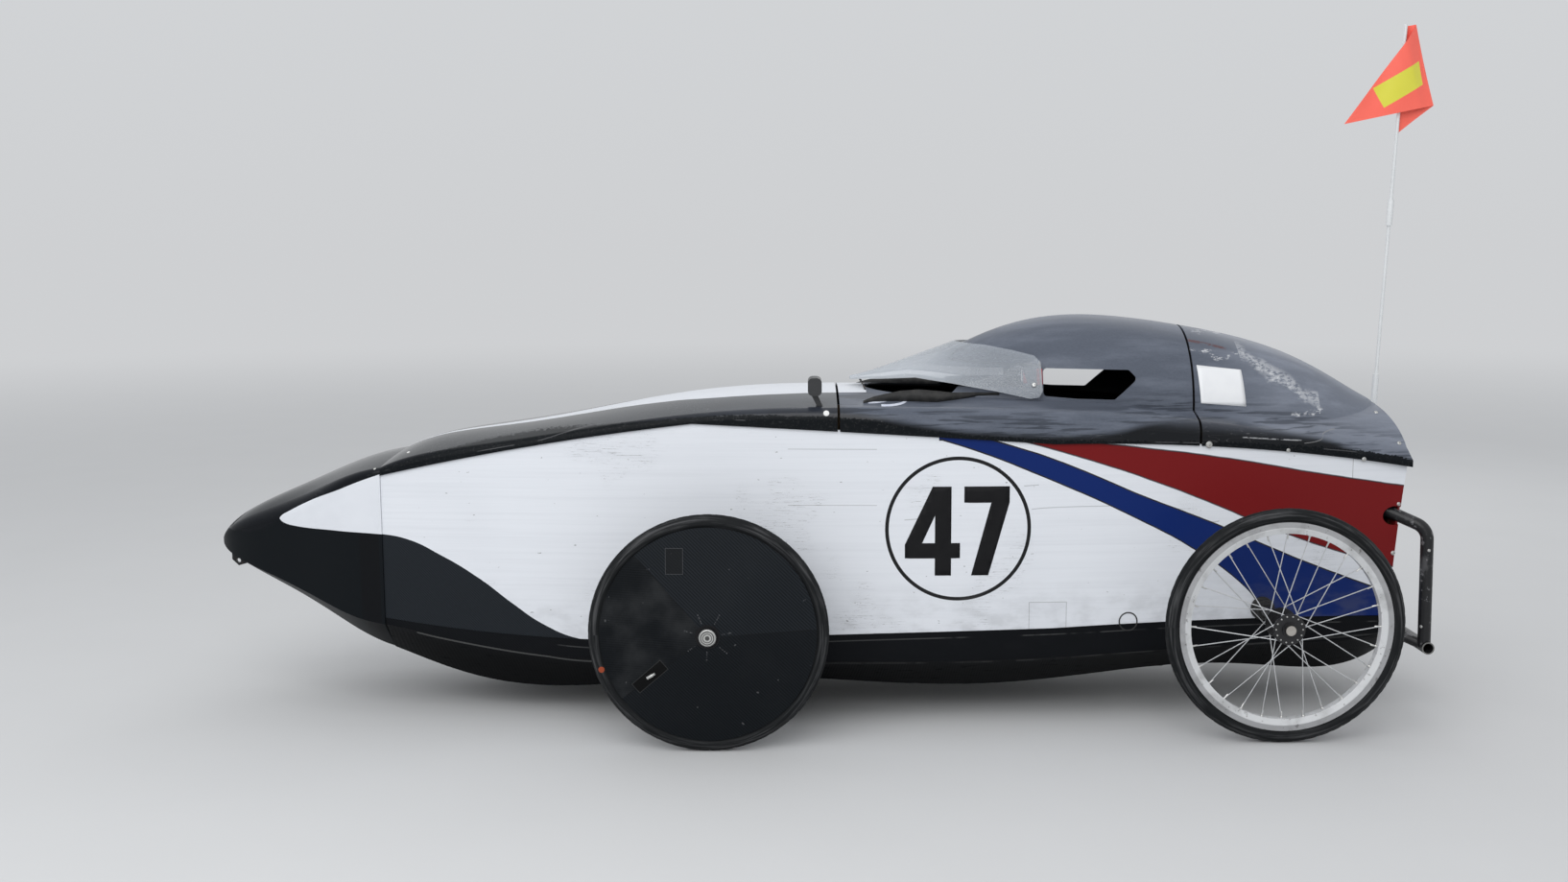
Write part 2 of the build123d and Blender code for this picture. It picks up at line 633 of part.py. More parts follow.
def disc_profile():
    flat = DISC_HUB_RADIUS + 12
    outline((DISC_EDGE + DISC_SHEET, DISC_RADIUS), (DISC_OUT, flat), (DISC_OUT, DISC_HUB_RADIUS),
            (-DISC_IN, DISC_HUB_RADIUS), (-DISC_IN, flat), (-DISC_EDGE - DISC_SHEET, DISC_RADIUS),
            (-DISC_EDGE, DISC_RADIUS), (DISC_SHEET - DISC_IN, flat),
            (DISC_SHEET - DISC_IN, DISC_HUB_RADIUS + 3), (DISC_OUT - DISC_SHEET, DISC_HUB_RADIUS + 3),
            (DISC_OUT - DISC_SHEET, flat), (DISC_EDGE, DISC_RADIUS))


def front_hub_profile():
    body = DISC_HUB_RADIUS - SEAT_GAP
    outline((-HUB_INNER, HUB_BORE), (-HUB_INNER, 15), (-DISC_IN, 15), (-DISC_IN, body), (DISC_OUT, body),
            (DISC_OUT, 19), (FRONT_HUB_END - 4, 19), (FRONT_HUB_END, 15), (FRONT_HUB_END, 0), (HUB_CAP, 0),
            (HUB_CAP, HUB_BORE))


# Rear wheel: laced hub, bare rim
FLANGE_RADIUS = 31.0
FLANGE_Y = 26.0
REAR_HUB_END = 33.0
REAR_NUT_END = 40.0
NUT_RADIUS = 10.5
SPOKE_RADIUS = 1.0
SPOKES_A_SIDE = 14
LACING_ANGLE = 52.0


def rear_hub_profile():
    outline((-REAR_HUB_END, HUB_BORE), (-REAR_HUB_END, 14), (-FLANGE_Y - 3, 14),
            (-FLANGE_Y - 3, FLANGE_RADIUS), (-FLANGE_Y, FLANGE_RADIUS), (-FLANGE_Y, 17), (FLANGE_Y, 17),
            (FLANGE_Y, FLANGE_RADIUS), (FLANGE_Y + 3, FLANGE_RADIUS), (FLANGE_Y + 3, 14),
            (REAR_HUB_END, 14), (REAR_HUB_END, HUB_BORE))


for side, sign in SIDES.items():
    front = wheel_plane(FRONT_AXLE_X, FRONT_HALF_TRACK, sign)
    rear = wheel_plane(REAR_AXLE_X, REAR_HALF_TRACK, sign)
    wheel_parts = {
        f"front_tyre_{side}": spun(front, tyre_profile),
        f"front_rim_{side}": spun(front, rim_profile),
        f"front_disc_{side}": spun(front, disc_profile),
        f"front_hub_{side}": spun(front, front_hub_profile),
        f"rear_tyre_{side}": spun(rear, tyre_profile),
        f"rear_rim_{side}": spun(rear, rim_profile),
    }
    for name, solid in wheel_parts.items():
        solid.label = name
        export_step(solid, f"parts/{name}.step")

    # Rear hub laced with spokes that reach the rim's inner face
    with BuildPart() as rear_hub:
        add(spun(rear, rear_hub_profile))
        for end in (-1, 1):
            for number in range(SPOKES_A_SIDE):
                at_rim = 360 * (number + (end + 1) / 4) / SPOKES_A_SIDE
                at_hub = at_rim + LACING_ANGLE * (1 if number % 2 else -1)
                y_hub = sign * REAR_HALF_TRACK + end * (FLANGE_Y + 1.5)
                y_rim = sign * REAR_HALF_TRACK + end * 3
                spoke = ((FLANGE_RADIUS - 3, at_hub, y_hub), (RIM_INNER - SEAT_GAP, at_rim, y_rim))
                ends = [Vector(REAR_AXLE_X + r * cos(radians(a)), y, AXLE_HEIGHT + r * sin(radians(a)))
                        for r, a, y in spoke]
                run = ends[1] - ends[0]
                with BuildSketch(Plane(origin=ends[0], z_dir=run)):
                    RegularPolygon(SPOKE_RADIUS, 6)
                extrude(amount=run.length)
    rear_hub.part.label = f"rear_hub_{side}"
    export_step(rear_hub.part, f"parts/rear_hub_{side}.step")

    # Steering knuckle: lugs above and below the boss, plate, stub axle, kingpin and rearward arm
    lug_low = AXLE_HEIGHT - BOSS_HALF_HEIGHT - SEAT_GAP - LUG_THICKNESS
    lug_high = AXLE_HEIGHT + BOSS_HALF_HEIGHT + SEAT_GAP
    plate_y = KINGPIN_Y + PLATE_OFFSET
    hub_inner = FRONT_HALF_TRACK - HUB_INNER
    axle_end = FRONT_HALF_TRACK + HUB_CAP - 1
    with BuildPart() as knuckle:
        for z in (lug_low, lug_high):
            with BuildSketch(Plane.XY.offset(z)):
                with Locations((FRONT_AXLE_X, sign * KINGPIN_Y)):
                    Circle(LUG_RADIUS)
                with Locations((FRONT_AXLE_X, sign * (KINGPIN_Y + PLATE_OFFSET / 2 + LUG_THICKNESS / 2))):
                    Rectangle(2 * LUG_RADIUS, PLATE_OFFSET)
            extrude(amount=LUG_THICKNESS)
        with Locations((FRONT_AXLE_X, sign * (plate_y + LUG_THICKNESS / 2), AXLE_HEIGHT)):
            Box(2 * LUG_RADIUS + 4, LUG_THICKNESS, 2 * (BOSS_HALF_HEIGHT + SEAT_GAP + LUG_THICKNESS))
        with Locations((FRONT_AXLE_X, sign * KINGPIN_Y, AXLE_HEIGHT)):
            Cylinder(KINGPIN_RADIUS, 2 * (BOSS_HALF_HEIGHT + LUG_THICKNESS) + 12)
        for radius, end in ((STUB_RADIUS, hub_inner - SEAT_GAP), (AXLE_RADIUS, axle_end)):
            with Locations(Location((FRONT_AXLE_X, sign * (plate_y + end) / 2, AXLE_HEIGHT), (90, 0, 0))):
                Cylinder(radius, end - plate_y)
        with BuildSketch(Plane.XY.offset(lug_low)):
            with Locations((TRACK_ROD_X, sign * KINGPIN_Y)):
                Circle(ROD_EYE_RADIUS)
            with Locations(((FRONT_AXLE_X + TRACK_ROD_X) / 2, sign * KINGPIN_Y)):
                Rectangle(ARM_LENGTH, 2 * ROD_EYE_RADIUS)
        extrude(amount=LUG_THICKNESS)
        with Locations((TRACK_ROD_X, sign * KINGPIN_Y, lug_low)):
            Cylinder(ROD_PIN_RADIUS, 28, align=UPWARD)
    knuckle.part.label = f"knuckle_{side}"
    export_step(knuckle.part, f"parts/knuckle_{side}.step")

    # Rubber boot where the rear axle tube leaves the hull
    boot_y = half_width(REAR_AXLE_X)
    with BuildPart() as rear_boot:
        add(spun(wheel_plane(REAR_AXLE_X, 0, sign), lambda: outline(
            (boot_y - 4, REAR_TUBE_RADIUS + SEAT_GAP), (boot_y + 34, REAR_TUBE_RADIUS + SEAT_GAP),
            (boot_y + 34, 17), (boot_y + 22, 17), (boot_y + 22, 20), (boot_y + 10, 20), (boot_y + 10, 24),
            (boot_y - 4, 24))))
        add(hull_prism(SEAT_GAP), mode=Mode.SUBTRACT)
    rear_boot.part.label = f"rear_boot_{side}"
    export_step(rear_boot.part, f"parts/rear_boot_{side}.step")

# Track rod between the steering arms; its right eye has a little play
with BuildPart() as track_rod:
    with Locations(Location((TRACK_ROD_X, 0, TRACK_ROD_Z), (90, 0, 0))):
        Cylinder(ROD_RADIUS, 2 * KINGPIN_Y)
    for side, sign in SIDES.items():
        with Locations((TRACK_ROD_X, sign * KINGPIN_Y, TRACK_ROD_Z)):
            Cylinder(ROD_EYE_RADIUS, ROD_EYE_HEIGHT)
            Cylinder(ROD_PIN_RADIUS + (RUNNING_GAP if side == "left" else ROD_PLAY), 20, mode=Mode.SUBTRACT)
track_rod.part.label = "track_rod"

# Rear axle tube through the hull, with a spindle and nut at each end
with BuildPart() as rear_axle:
    tube_end = REAR_HALF_TRACK - REAR_HUB_END - SEAT_GAP
    with Locations(Location((REAR_AXLE_X, 0, AXLE_HEIGHT), (90, 0, 0))):
        Cylinder(REAR_TUBE_RADIUS, 2 * tube_end)
        Cylinder(AXLE_RADIUS, 2 * (REAR_HALF_TRACK + REAR_NUT_END))
    for sign in SIDES.values():
        middle = REAR_HALF_TRACK + (REAR_HUB_END + REAR_NUT_END) / 2
        with Locations(Location((REAR_AXLE_X, sign * middle, AXLE_HEIGHT), (90, 0, 0))):
            Cylinder(NUT_RADIUS, REAR_NUT_END - REAR_HUB_END - 2 * SEAT_GAP)
rear_axle.part.label = "rear_axle"

# Bumper frame: cross tube, two bent legs into the hull's flanks and two lower arms
with BuildPart() as bumper:
    with Locations(Location((BUMPER_FOOT[0], 0, BUMPER_FOOT[1]), (90, 0, 0))):
        Cylinder(BUMPER_RADIUS, 2 * (BUMPER_HALF_WIDTH + BUMPER_OVERHANG))
    for sign in SIDES.values():
        add(bumper_leg(sign, BUMPER_RADIUS))
        ends = [Vector(x, sign * y, z) for x, y, z in BUMPER_ARM]
        run = ends[1] - ends[0]
        with Locations(Plane(origin=ends[0], z_dir=run)):
            Cylinder(BUMPER_ARM_RADIUS, run.length, align=UPWARD)
    with Locations(Location((BUMPER_FOOT[0], 0, BUMPER_FOOT[1]), (90, 0, 0))):
        Cylinder(BUMPER_RADIUS - BUMPER_WALL, 2 * (BUMPER_HALF_WIDTH + BUMPER_OVERHANG), mode=Mode.SUBTRACT)
    with BuildPart(mode=Mode.PRIVATE) as hull_tail:
        add(pan_body(-SEAT_GAP))
        add(ahead_of([(x + SEAT_GAP, z) for x, z in TAIL_LINE], 900, 0), mode=Mode.INTERSECT)
    add(hull_tail.part, mode=Mode.SUBTRACT)
bumper.part.label = "bumper"

# Skid bar under the belly on two short brackets
SKID_X, SKID_Z = 667.0, 57.0
SKID_LENGTH, SKID_RADIUS = 200.0, 4.0
SKID_BRACKETS = {-85.0: 28.0, 85.0: 46.0}
with BuildPart() as skid_bar:
    with Locations(Location((SKID_X, 0, SKID_Z), (0, 90, 0))):
        Cylinder(SKID_RADIUS, SKID_LENGTH)
    for dx, height in SKID_BRACKETS.items():
        with Locations((SKID_X + dx, 0, SKID_Z)):
            Box(14, 10, height, align=UPWARD)
    add(pan_body(-SEAT_GAP), mode=Mode.SUBTRACT)
skid_bar.part.label = "skid_bar"

# Tiller: column in a floor bearing, T handlebar in front of the rider
TILLER_FOOT = (60.0, 0.0, 92.0)
TILLER_TOP = (150.0, 0.0, 500.0)
TILLER_RADIUS = 11.0
HANDLEBAR_HALF = 150.0
GRIP_RADIUS, GRIP_LENGTH = 16.0, 100.0
tiller_axis = Vector(*TILLER_TOP) - Vector(*TILLER_FOOT)
tiller_plane = Plane(origin=TILLER_FOOT, x_dir=(0, 1, 0), z_dir=tiller_axis)
with BuildPart() as tiller:
    with Locations(tiller_plane):
        Cylinder(TILLER_RADIUS, tiller_axis.length, align=UPWARD)
    with Locations(Location(TILLER_TOP, (90, 0, 0))):
        Cylinder(TILLER_RADIUS, 2 * HANDLEBAR_HALF)
    for sign in SIDES.values():
        grip_y = sign * (HANDLEBAR_HALF - GRIP_LENGTH / 2)
        with Locations(Location((TILLER_TOP[0], grip_y, TILLER_TOP[2]), (90, 0, 0))):
            Cylinder(GRIP_RADIUS, GRIP_LENGTH)
tiller.part.label = "tiller"

BEARING_RADIUS, BEARING_HEIGHT = 20.0, 54.0
BEARING_FLANGE = 80.0
with BuildPart() as tiller_bearing:
    with Locations(tiller_plane.offset(-6)):
        Cylinder(BEARING_RADIUS, BEARING_HEIGHT + 6, align=UPWARD)
    with Locations((TILLER_FOOT[0], 0, TILLER_FOOT[2] - 11)):
        Box(BEARING_FLANGE, BEARING_FLANGE, 8)
    with Locations(tiller_plane.offset(-SEAT_GAP)):
        Cylinder(TILLER_RADIUS + RUNNING_GAP, 2 * BEARING_HEIGHT, align=UPWARD,
                 mode=Mode.SUBTRACT)
    add(pan_body(WALL + SEAT_GAP), mode=Mode.INTERSECT)
tiller_bearing.part.label = "tiller_bearing"

# Safety flag: leaning pole in a socket on the tail, with a pennant at its top
POLE_FOOT = Vector(1210.0, 0.0, 640.0)
POLE_LEAN = Vector(25.0, 0.0, 581.0).normalized()
POLE_LENGTH = 800.0
POLE_RADIUS = 3.5
SOCKET_RADIUS = 6.5
SOCKET_TOP, SOCKET_DEPTH = 62.0, 30.0
SOCKET_BRACKET = (44.0, 12.0, 34.0)
FERRULE_AT, FERRULE_LENGTH = 380.0, 55.0
pole_plane = Plane(origin=POLE_FOOT, x_dir=(0, 1, 0), z_dir=POLE_LEAN)
with BuildPart() as flag_pole:
    with Locations(pole_plane):
        Cylinder(POLE_RADIUS, POLE_LENGTH, align=UPWARD)
    with Locations(pole_plane.offset(FERRULE_AT)):
        Cylinder(SOCKET_RADIUS, FERRULE_LENGTH, align=UPWARD)
flag_pole.part.label = "flag_pole"

with BuildPart() as flag_socket:
    with Locations(POLE_FOOT - Vector(SOCKET_BRACKET[0] / 2 - 4, 0, 14)):
        Box(*SOCKET_BRACKET)
    with Locations(pole_plane.offset(-SOCKET_DEPTH)):
        Cylinder(SOCKET_RADIUS, SOCKET_TOP + SOCKET_DEPTH, align=UPWARD)
    with Locations(pole_plane.offset(-SEAT_GAP)):
        Cylinder(POLE_RADIUS + RUNNING_GAP, 2 * SOCKET_TOP, align=UPWARD, mode=Mode.SUBTRACT)
    with BuildPart(mode=Mode.PRIVATE) as tail_solid:
        add(deck_body(-SEAT_GAP))
        add(dome_body(-SEAT_GAP))
        add(ahead_of([(x + SEAT_GAP, z + SEAT_GAP) for x, z in DECK_END], 900, 300), mode=Mode.INTERSECT)
    add(tail_solid.part, mode=Mode.SUBTRACT)
flag_socket.part.label = "flag_socket"

FLAG_OUTLINE = [(1240, 1446), (1263, 1444), (-NOSE_X, 1272), (1245, 1236), (1119, 1233)]
FLAG_THICKNESS = 26.0
with BuildPart() as flag:
    with BuildSketch(Plane.XZ):
        outline(*FLAG_OUTLINE)
    extrude(amount=FLAG_THICKNESS / 2, both=True)
    with Locations(pole_plane):
        Cylinder(POLE_RADIUS + SEAT_GAP, POLE_LENGTH + SEAT_GAP, align=UPWARD,
                 mode=Mode.SUBTRACT)
flag.part.label = "flag"

for node in (nose_cone, nose_hook, hood, canopy, rear_deck, belly_pan, transom, bulkhead, seat, head_pad,
             visor, visor_bolts, mirror, hinge_fixed, hinge_lid, front_beam, track_rod, rear_axle, bumper,
             skid_bar, tiller, tiller_bearing, flag_pole, flag_socket, flag):
    export_step(node.part, f"parts/{node.part.label}.step")
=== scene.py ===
from math import cos, pi, radians, sin

import bmesh
import bpy
from mathutils import Matrix, Vector


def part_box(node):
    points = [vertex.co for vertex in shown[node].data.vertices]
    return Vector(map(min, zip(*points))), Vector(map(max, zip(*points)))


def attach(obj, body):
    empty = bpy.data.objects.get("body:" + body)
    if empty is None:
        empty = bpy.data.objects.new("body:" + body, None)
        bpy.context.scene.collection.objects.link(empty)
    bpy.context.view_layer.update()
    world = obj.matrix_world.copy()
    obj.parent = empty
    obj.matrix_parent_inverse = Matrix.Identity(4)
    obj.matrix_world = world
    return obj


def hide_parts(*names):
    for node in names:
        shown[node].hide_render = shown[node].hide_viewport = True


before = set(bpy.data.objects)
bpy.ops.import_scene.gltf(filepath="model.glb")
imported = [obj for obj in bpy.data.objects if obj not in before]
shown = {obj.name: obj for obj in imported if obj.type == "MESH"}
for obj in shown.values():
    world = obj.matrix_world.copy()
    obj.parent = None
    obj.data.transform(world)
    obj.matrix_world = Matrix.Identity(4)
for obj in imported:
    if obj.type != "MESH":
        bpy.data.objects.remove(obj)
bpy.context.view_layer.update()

# The viewpoint is the photograph's own: beside the left flank, a little above the canopy's
# roof and looking slightly down. It is worked out for a frame 1634 pixels wide.
EYE = Vector((-0.022, -3.323, 0.971))
PITCH, YAW, ROLL = radians(7.057), radians(-0.851), radians(0.3015)
FOCAL_PIXELS, FRAME_PIXELS = 1592.8, 1634
ahead = Vector((sin(YAW) * cos(PITCH), cos(YAW) * cos(PITCH), -sin(PITCH)))
level = ahead.cross(Vector((0, 0, 1))).normalized()
across = cos(ROLL) * level - sin(ROLL) * level.cross(ahead)
camera_data = bpy.data.cameras.new("camera")
camera_data.sensor_width = 36
camera_data.lens = camera_data.sensor_width * FOCAL_PIXELS / FRAME_PIXELS
camera = bpy.data.objects.new("camera", camera_data)
camera.matrix_world = Matrix((across, across.cross(ahead), -ahead)).transposed().to_4x4()
camera.matrix_world.translation = EYE
bpy.context.scene.collection.objects.link(camera)
bpy.context.scene.camera = camera
bpy.context.scene.view_settings.view_transform = "Standard"


# A pale floor runs up into a pale sky, like an overcast day on a light ground. One wide
# lamp above the near side and a weaker one behind give the soft shadow under the hull.
class Reading:
    """The value at a socket of a finish. Sums and comparisons on it add their Math nodes."""

    def __init__(self, finish, socket):
        self.finish = finish
        self.socket = socket

    def maths(self, operation, *others):
        return self.finish.node("ShaderNodeMath", {"operation": operation}, self, *others)

    def __add__(self, other):
        return self.maths("ADD", other)

    def __sub__(self, other):
        return self.maths("SUBTRACT", other)

    def __rsub__(self, other):
        return self.maths("MULTIPLY_ADD", -1.0, other)

    def __mul__(self, other):
        return self.maths("MULTIPLY", other)

    def __truediv__(self, other):
        return self.maths("DIVIDE", other)

    def __gt__(self, other):
        return self.maths("GREATER_THAN", other)

    def __lt__(self, other):
        return self.maths("LESS_THAN", other)

    def __abs__(self):
        return self.maths("ABSOLUTE")

    __radd__ = __add__
    __rmul__ = __mul__

    def over(self, low, high):
        """0 below low, 1 above high, and a soft step between."""
        return self.finish.node("ShaderNodeMapRange", {"interpolation_type": "SMOOTHSTEP"}, self, low, high)

    def within(self, half):
        """1 where the value lies less than half from zero."""
        return abs(self) < half


class Finish:
    """A material made of nodes. Every place in it is read in the vehicle's own metres."""

    def __init__(self, name, colour=None, tree=None):
        if tree is None:
            self.material = bpy.data.materials.new(name)
            self.material.use_nodes = True
            tree = self.material.node_tree
        self.tree = tree
        self.shader = tree.nodes.get("Principled BSDF")
        self.colour = colour
        self.place = self.node("ShaderNodeTexCoord", {}, out=3)
        self.x, self.y, self.z = self.split(self.place)

    def feed(self, socket, value):
        if isinstance(value, Reading):
            self.tree.links.new(value.socket, socket)
        elif socket.type == "RGBA" and len(value) == 3:
            socket.default_value = (*value, 1)
        else:
            socket.default_value = value

    def node(self, kind, settings, *values, out=0, **sockets):
        """A node of any kind: its settings first, then its sockets in order or by name."""
        made = self.tree.nodes.new(kind)
        for key, value in settings.items():
            if key == "line":
                curve = made.mapping.curves[0]
                while len(curve.points) < len(value):
                    curve.points.new(0.5, 0.5)
                for point, place in zip(curve.points, value):
                    point.location = place
                    point.handle_type = "AUTO"
                made.mapping.update()
            else:
                setattr(made, key, value)
        for socket, value in zip(made.inputs, values):
            self.feed(socket, value)
        for key, value in sockets.items():
            self.feed(made.inputs[key.replace("_", " ")], value)
        return Reading(self, made.outputs[out])

    def split(self, vector):
        """The three axes of a vector."""
        outputs = self.node("ShaderNodeSeparateXYZ", {}, vector).socket.node.outputs
        return [Reading(self, output) for output in outputs]

    def facing(self):
        """Which way the surface faces, in the vehicle's own axes at rest."""
        return self.split(self.node("ShaderNodeTexCoord", {}, out=1))

    def noise(self, scale, detail=3.0, roughness=0.55, by=(1, 1, 1), at=None):
        """Noise over the surface or over three other readings, its grains squeezed by a factor an axis."""
        place = self.node("ShaderNodeCombineXYZ", {}, *at) if at else self.place
        if by != (1, 1, 1):
            place = self.node("ShaderNodeVectorMath", {"operation": "MULTIPLY"}, place, by)
        sockets = {"Vector": place, "Scale": scale, "Detail": detail, "Roughness": roughness}
        return self.node("ShaderNodeTexNoise", {}, **sockets)

    def mixed(self, mask, under, over):
        """One colour laid over another where the mask is 1."""
        blend = self.node("ShaderNodeMix", {"data_type": "RGBA"}, mask, out=2)
        for number, value in ((6, under), (7, over)):
            self.feed(blend.socket.node.inputs[number], value)
        return blend

    def lay(self, mask, colour):
        """Lays another colour over the finish's own where the mask is 1."""
        self.colour = self.mixed(mask, self.colour, colour)

    def along(self, points):
        """The height of a line drawn through points, at each run along the vehicle."""
        start, end = points[0][0], points[-1][0]
        low, high = min(z for _, z in points), max(z for _, z in points)
        line = [((x - start) / (end - start), (z - low) / max(high - low, 1e-6)) for x, z in points]
        share = self.node("ShaderNodeMapRange", {}, self.x, start, end)
        return self.node("ShaderNodeFloatCurve", {"line": line}, 1.0, share) * (high - low) + low

    def above(self, points):
        """How far the surface lies above such a line."""
        return self.z - self.along(points)

    def stroke(self, points, half, wander=None):
        """1 on a line drawn through points. One that wanders also has soft edges."""
        if wander is None:
            drawn = self.above(points).within(half)
        else:
            drawn = 1 - abs(self.above(points) + wander).over(half * 0.2, half)
        return drawn * (self.x > points[0][0]) * (self.x < points[-1][0])

    def bump(self, height, distance, strength=1.0):
        return self.node("ShaderNodeBump", {}, Strength=strength, Distance=distance, Height=height)

    def coat(self, **sockets):
        """Sets the surface itself: its colour so far, and the shader's other sockets by name."""
        for key, value in {"Base_Color": self.colour, **sockets}.items():
            self.feed(self.shader.inputs[key.replace("_", " ")], value)
        return self

    def on(self, *pieces):
        """Gives this finish to pieces, or to CAD nodes by name."""
        for piece in pieces:
            piece = shown[piece] if isinstance(piece, str) else piece
            if piece.material_slots:
                piece.material_slots[0].material = self.material
            else:
                piece.data.materials.append(self.material)


SHARP_ANGLE = radians(35)


def distance(across, up):
    """How far a place lies from where both readings are zero."""
    return (across * across + up * up).maths("SQRT")


def solid(name, mesh):
    """A new object from a bmesh, smooth where its faces turn less than the sharp angle."""
    data = bpy.data.meshes.new(name)
    mesh.to_mesh(data)
    mesh.free()
    data.shade_smooth()
    data.set_sharp_from_angle(angle=SHARP_ANGLE)
    piece = bpy.data.objects.new(name, data)
    bpy.context.scene.collection.objects.link(piece)
    return piece


FLOOR_COLOUR = (0.54, 0.545, 0.55)
HORIZON = (0.62, 0.63, 0.645)
# each band of the sky: the heights where it starts and ends, and the colour it reaches
SKY_BANDS = [(0.0, 0.35, (0.66, 0.68, 0.7)), (0.35, 1.0, (0.94, 0.95, 0.97))]
FLOOR_FADE = (3.0, 14.0)
ground = bmesh.new()
bmesh.ops.create_grid(ground, x_segments=2, y_segments=2, size=90)
floor = solid("floor", ground)
concrete = Finish("pale_floor", FLOOR_COLOUR)
concrete.lay(concrete.noise(3.0), [channel * 1.04 for channel in FLOOR_COLOUR])
concrete.coat(Roughness=0.9, Specular_IOR_Level=0.1)
far_floor = concrete.node("ShaderNodeEmission", {}, HORIZON, 1.0)
near_floor = Reading(concrete, concrete.shader.outputs[0])
fade = distance(concrete.x, concrete.y).over(*FLOOR_FADE)
faded = concrete.node("ShaderNodeMixShader", {}, fade, near_floor, far_floor)
concrete.feed(concrete.tree.nodes["Material Output"].inputs["Surface"], faded)
concrete.on(floor)

world = bpy.data.worlds.new("overcast")
bpy.context.scene.world = world
world.use_nodes = True
sky = Finish("overcast", HORIZON, world.node_tree)
height = sky.split(sky.node("ShaderNodeTexCoord", {}, out=0))[2]
for low, high, colour in SKY_BANDS:
    sky.lay(sky.node("ShaderNodeMapRange", {}, height, low, high), colour)
sky.feed(world.node_tree.nodes["Background"].inputs["Color"], sky.colour)

LAMPS = {"sky_lamp": ((-1.1, -3.4, 2.8), 4.0, 112), "back_lamp": ((1.5, 3.0, 2.8), 3.0, 24)}
for lamp_name, (lamp_place, lamp_size, lamp_power) in LAMPS.items():
    lamp_data = bpy.data.lights.new(lamp_name, "AREA")
    lamp_data.size = lamp_size
    lamp_data.energy = lamp_power
    lamp = bpy.data.objects.new(lamp_name, lamp_data)
    lamp.location = lamp_place
    lamp.rotation_euler = (-Vector(lamp_place)).to_track_quat("-Z", "Y").to_euler()
    bpy.context.scene.collection.objects.link(lamp)


# Belly pan: one moulding of black carbon cloth with the weave left bare, lapped under
# the side panels. Road dust has dulled its flanks; a painted highlight runs along its chine,
# and a thinner painted highlight along the side panels' lower edge.
CARBON = (0.004, 0.0055, 0.007)
CARBON_SHEEN = (0.016, 0.019, 0.023)
BLACK_SPECULAR = 0.1
# road dust; also the colour of the painted highlights along the chine and the sill
ROAD_DUST_AND_HIGHLIGHT = (0.14, 0.142, 0.14)
WALE = 0.0056
CHINE = [
    (-0.94, 0.216), (-0.857, 0.187), (-0.704, 0.158), (-0.567, 0.139), (-0.45, 0.128), (0.04, 0.13),
    (0.39, 0.134), (0.65, 0.148), (1.23, 0.172),
]
SILL = [(-0.55, 0.166), (-0.33, 0.158), (0.03, 0.178), (0.48, 0.19), (0.86, 0.2), (1.2, 0.196)]
REAR_HIGHLIGHT_START = -0.42


def wales(run, rise, pitch=WALE):
    """The slanting ribs of a twill cloth, from 0 in a groove to 1 on a rib."""
    slant = ((run + rise) / pitch).maths("FRACT")
    cross = ((run - rise) / (pitch * 0.5)).maths("FRACT")
    return (1 - abs(slant * 2 - 1)) * 0.75 + abs(cross * 2 - 1) * 0.25


def carbon(finish, run, rise):
    """Bare carbon cloth under a thin clear resin."""
    weave = wales(run, rise)
    scuffs = finish.noise(3.0, by=(9, 9, 60)).over(0.6, 0.72)
    finish.lay(weave * finish.noise(7.0), CARBON_SHEEN)
    finish.lay(scuffs * 0.1, ROAD_DUST_AND_HIGHLIGHT)
    finish.coat(Roughness=0.34 + weave * 0.16 + scuffs * 0.2, Specular_IOR_Level=BLACK_SPECULAR * 0.6,
                Normal=finish.bump(weave, 0.00025, 0.5))


pan = Finish("belly_weave", CARBON)
carbon(pan, pan.x, pan.z - abs(pan.y))
edge = pan.above(CHINE)
# painted highlight along the chine: bright at the front, thinner and in pieces further back
chine_highlight = edge.within(0.0022) * (pan.x > -0.84) * (pan.x < REAR_HIGHLIGHT_START)
rear_chine_highlight = edge.within(0.002) * pan.noise(2.0, by=(10, 1, 1)).over(0.4, 0.56) * (pan.x > REAR_HIGHLIGHT_START)
dust = pan.noise(2.5, by=(5, 5, 16)).over(0.5, 0.8)
skirt = edge.over(-0.03, 0.02)
# painted highlight: a thin line in pieces along the side panels' lower edge
sill_highlight = pan.stroke(SILL, 0.0013) * pan.noise(2.0, by=(7, 1, 1)).over(0.42, 0.55)
pan.colour = pan.mixed(skirt * 0.5, (0.002, 0.0024, 0.003), (0.0045, 0.0052, 0.0065))
pan.lay(dust * 0.01 + rear_chine_highlight * 0.22 + chine_highlight * 0.6 + sill_highlight * 0.3, ROAD_DUST_AND_HIGHLIGHT)
pan.lay(wales(pan.x, pan.z - abs(pan.y)) * skirt * 0.25, (0.018, 0.02, 0.024))
pan.coat()
pan.on("belly_pan")


# Side panels: long boards of painted plywood. White paint shows the grain and its cracks;
# a black wave sweeps up to the nose, and blue, white and red bands sweep down to the tail.
WHITE = (0.695, 0.717, 0.757)
WHITE_SHADE = (0.54, 0.56, 0.6)
BLUE = (0.0025, 0.017, 0.118)
RED = (0.158, 0.007, 0.008)
CRACK = (0.16, 0.16, 0.16)
PLYWOOD, PLYWOOD_GRAIN = (0.34, 0.235, 0.14), (0.21, 0.135, 0.075)
WAVE = [
    (-1.146, 0.413), (-1.134, 0.404), (-1.107, 0.399), (-1.006, 0.396), (-0.912, 0.392), (-0.864, 0.385),
    (-0.781, 0.349), (-0.7, 0.301), (-0.633, 0.251), (-0.565, 0.206), (-0.5, 0.18), (-0.44, 0.172),
    (-0.38, 0.172),
]
BLUE_FOOT = [
    (0.252, 0.593), (0.354, 0.559), (0.439, 0.525), (0.613, 0.447), (0.777, 0.359), (0.883, 0.279),
    (0.933, 0.215), (1.0, 0.15),
]
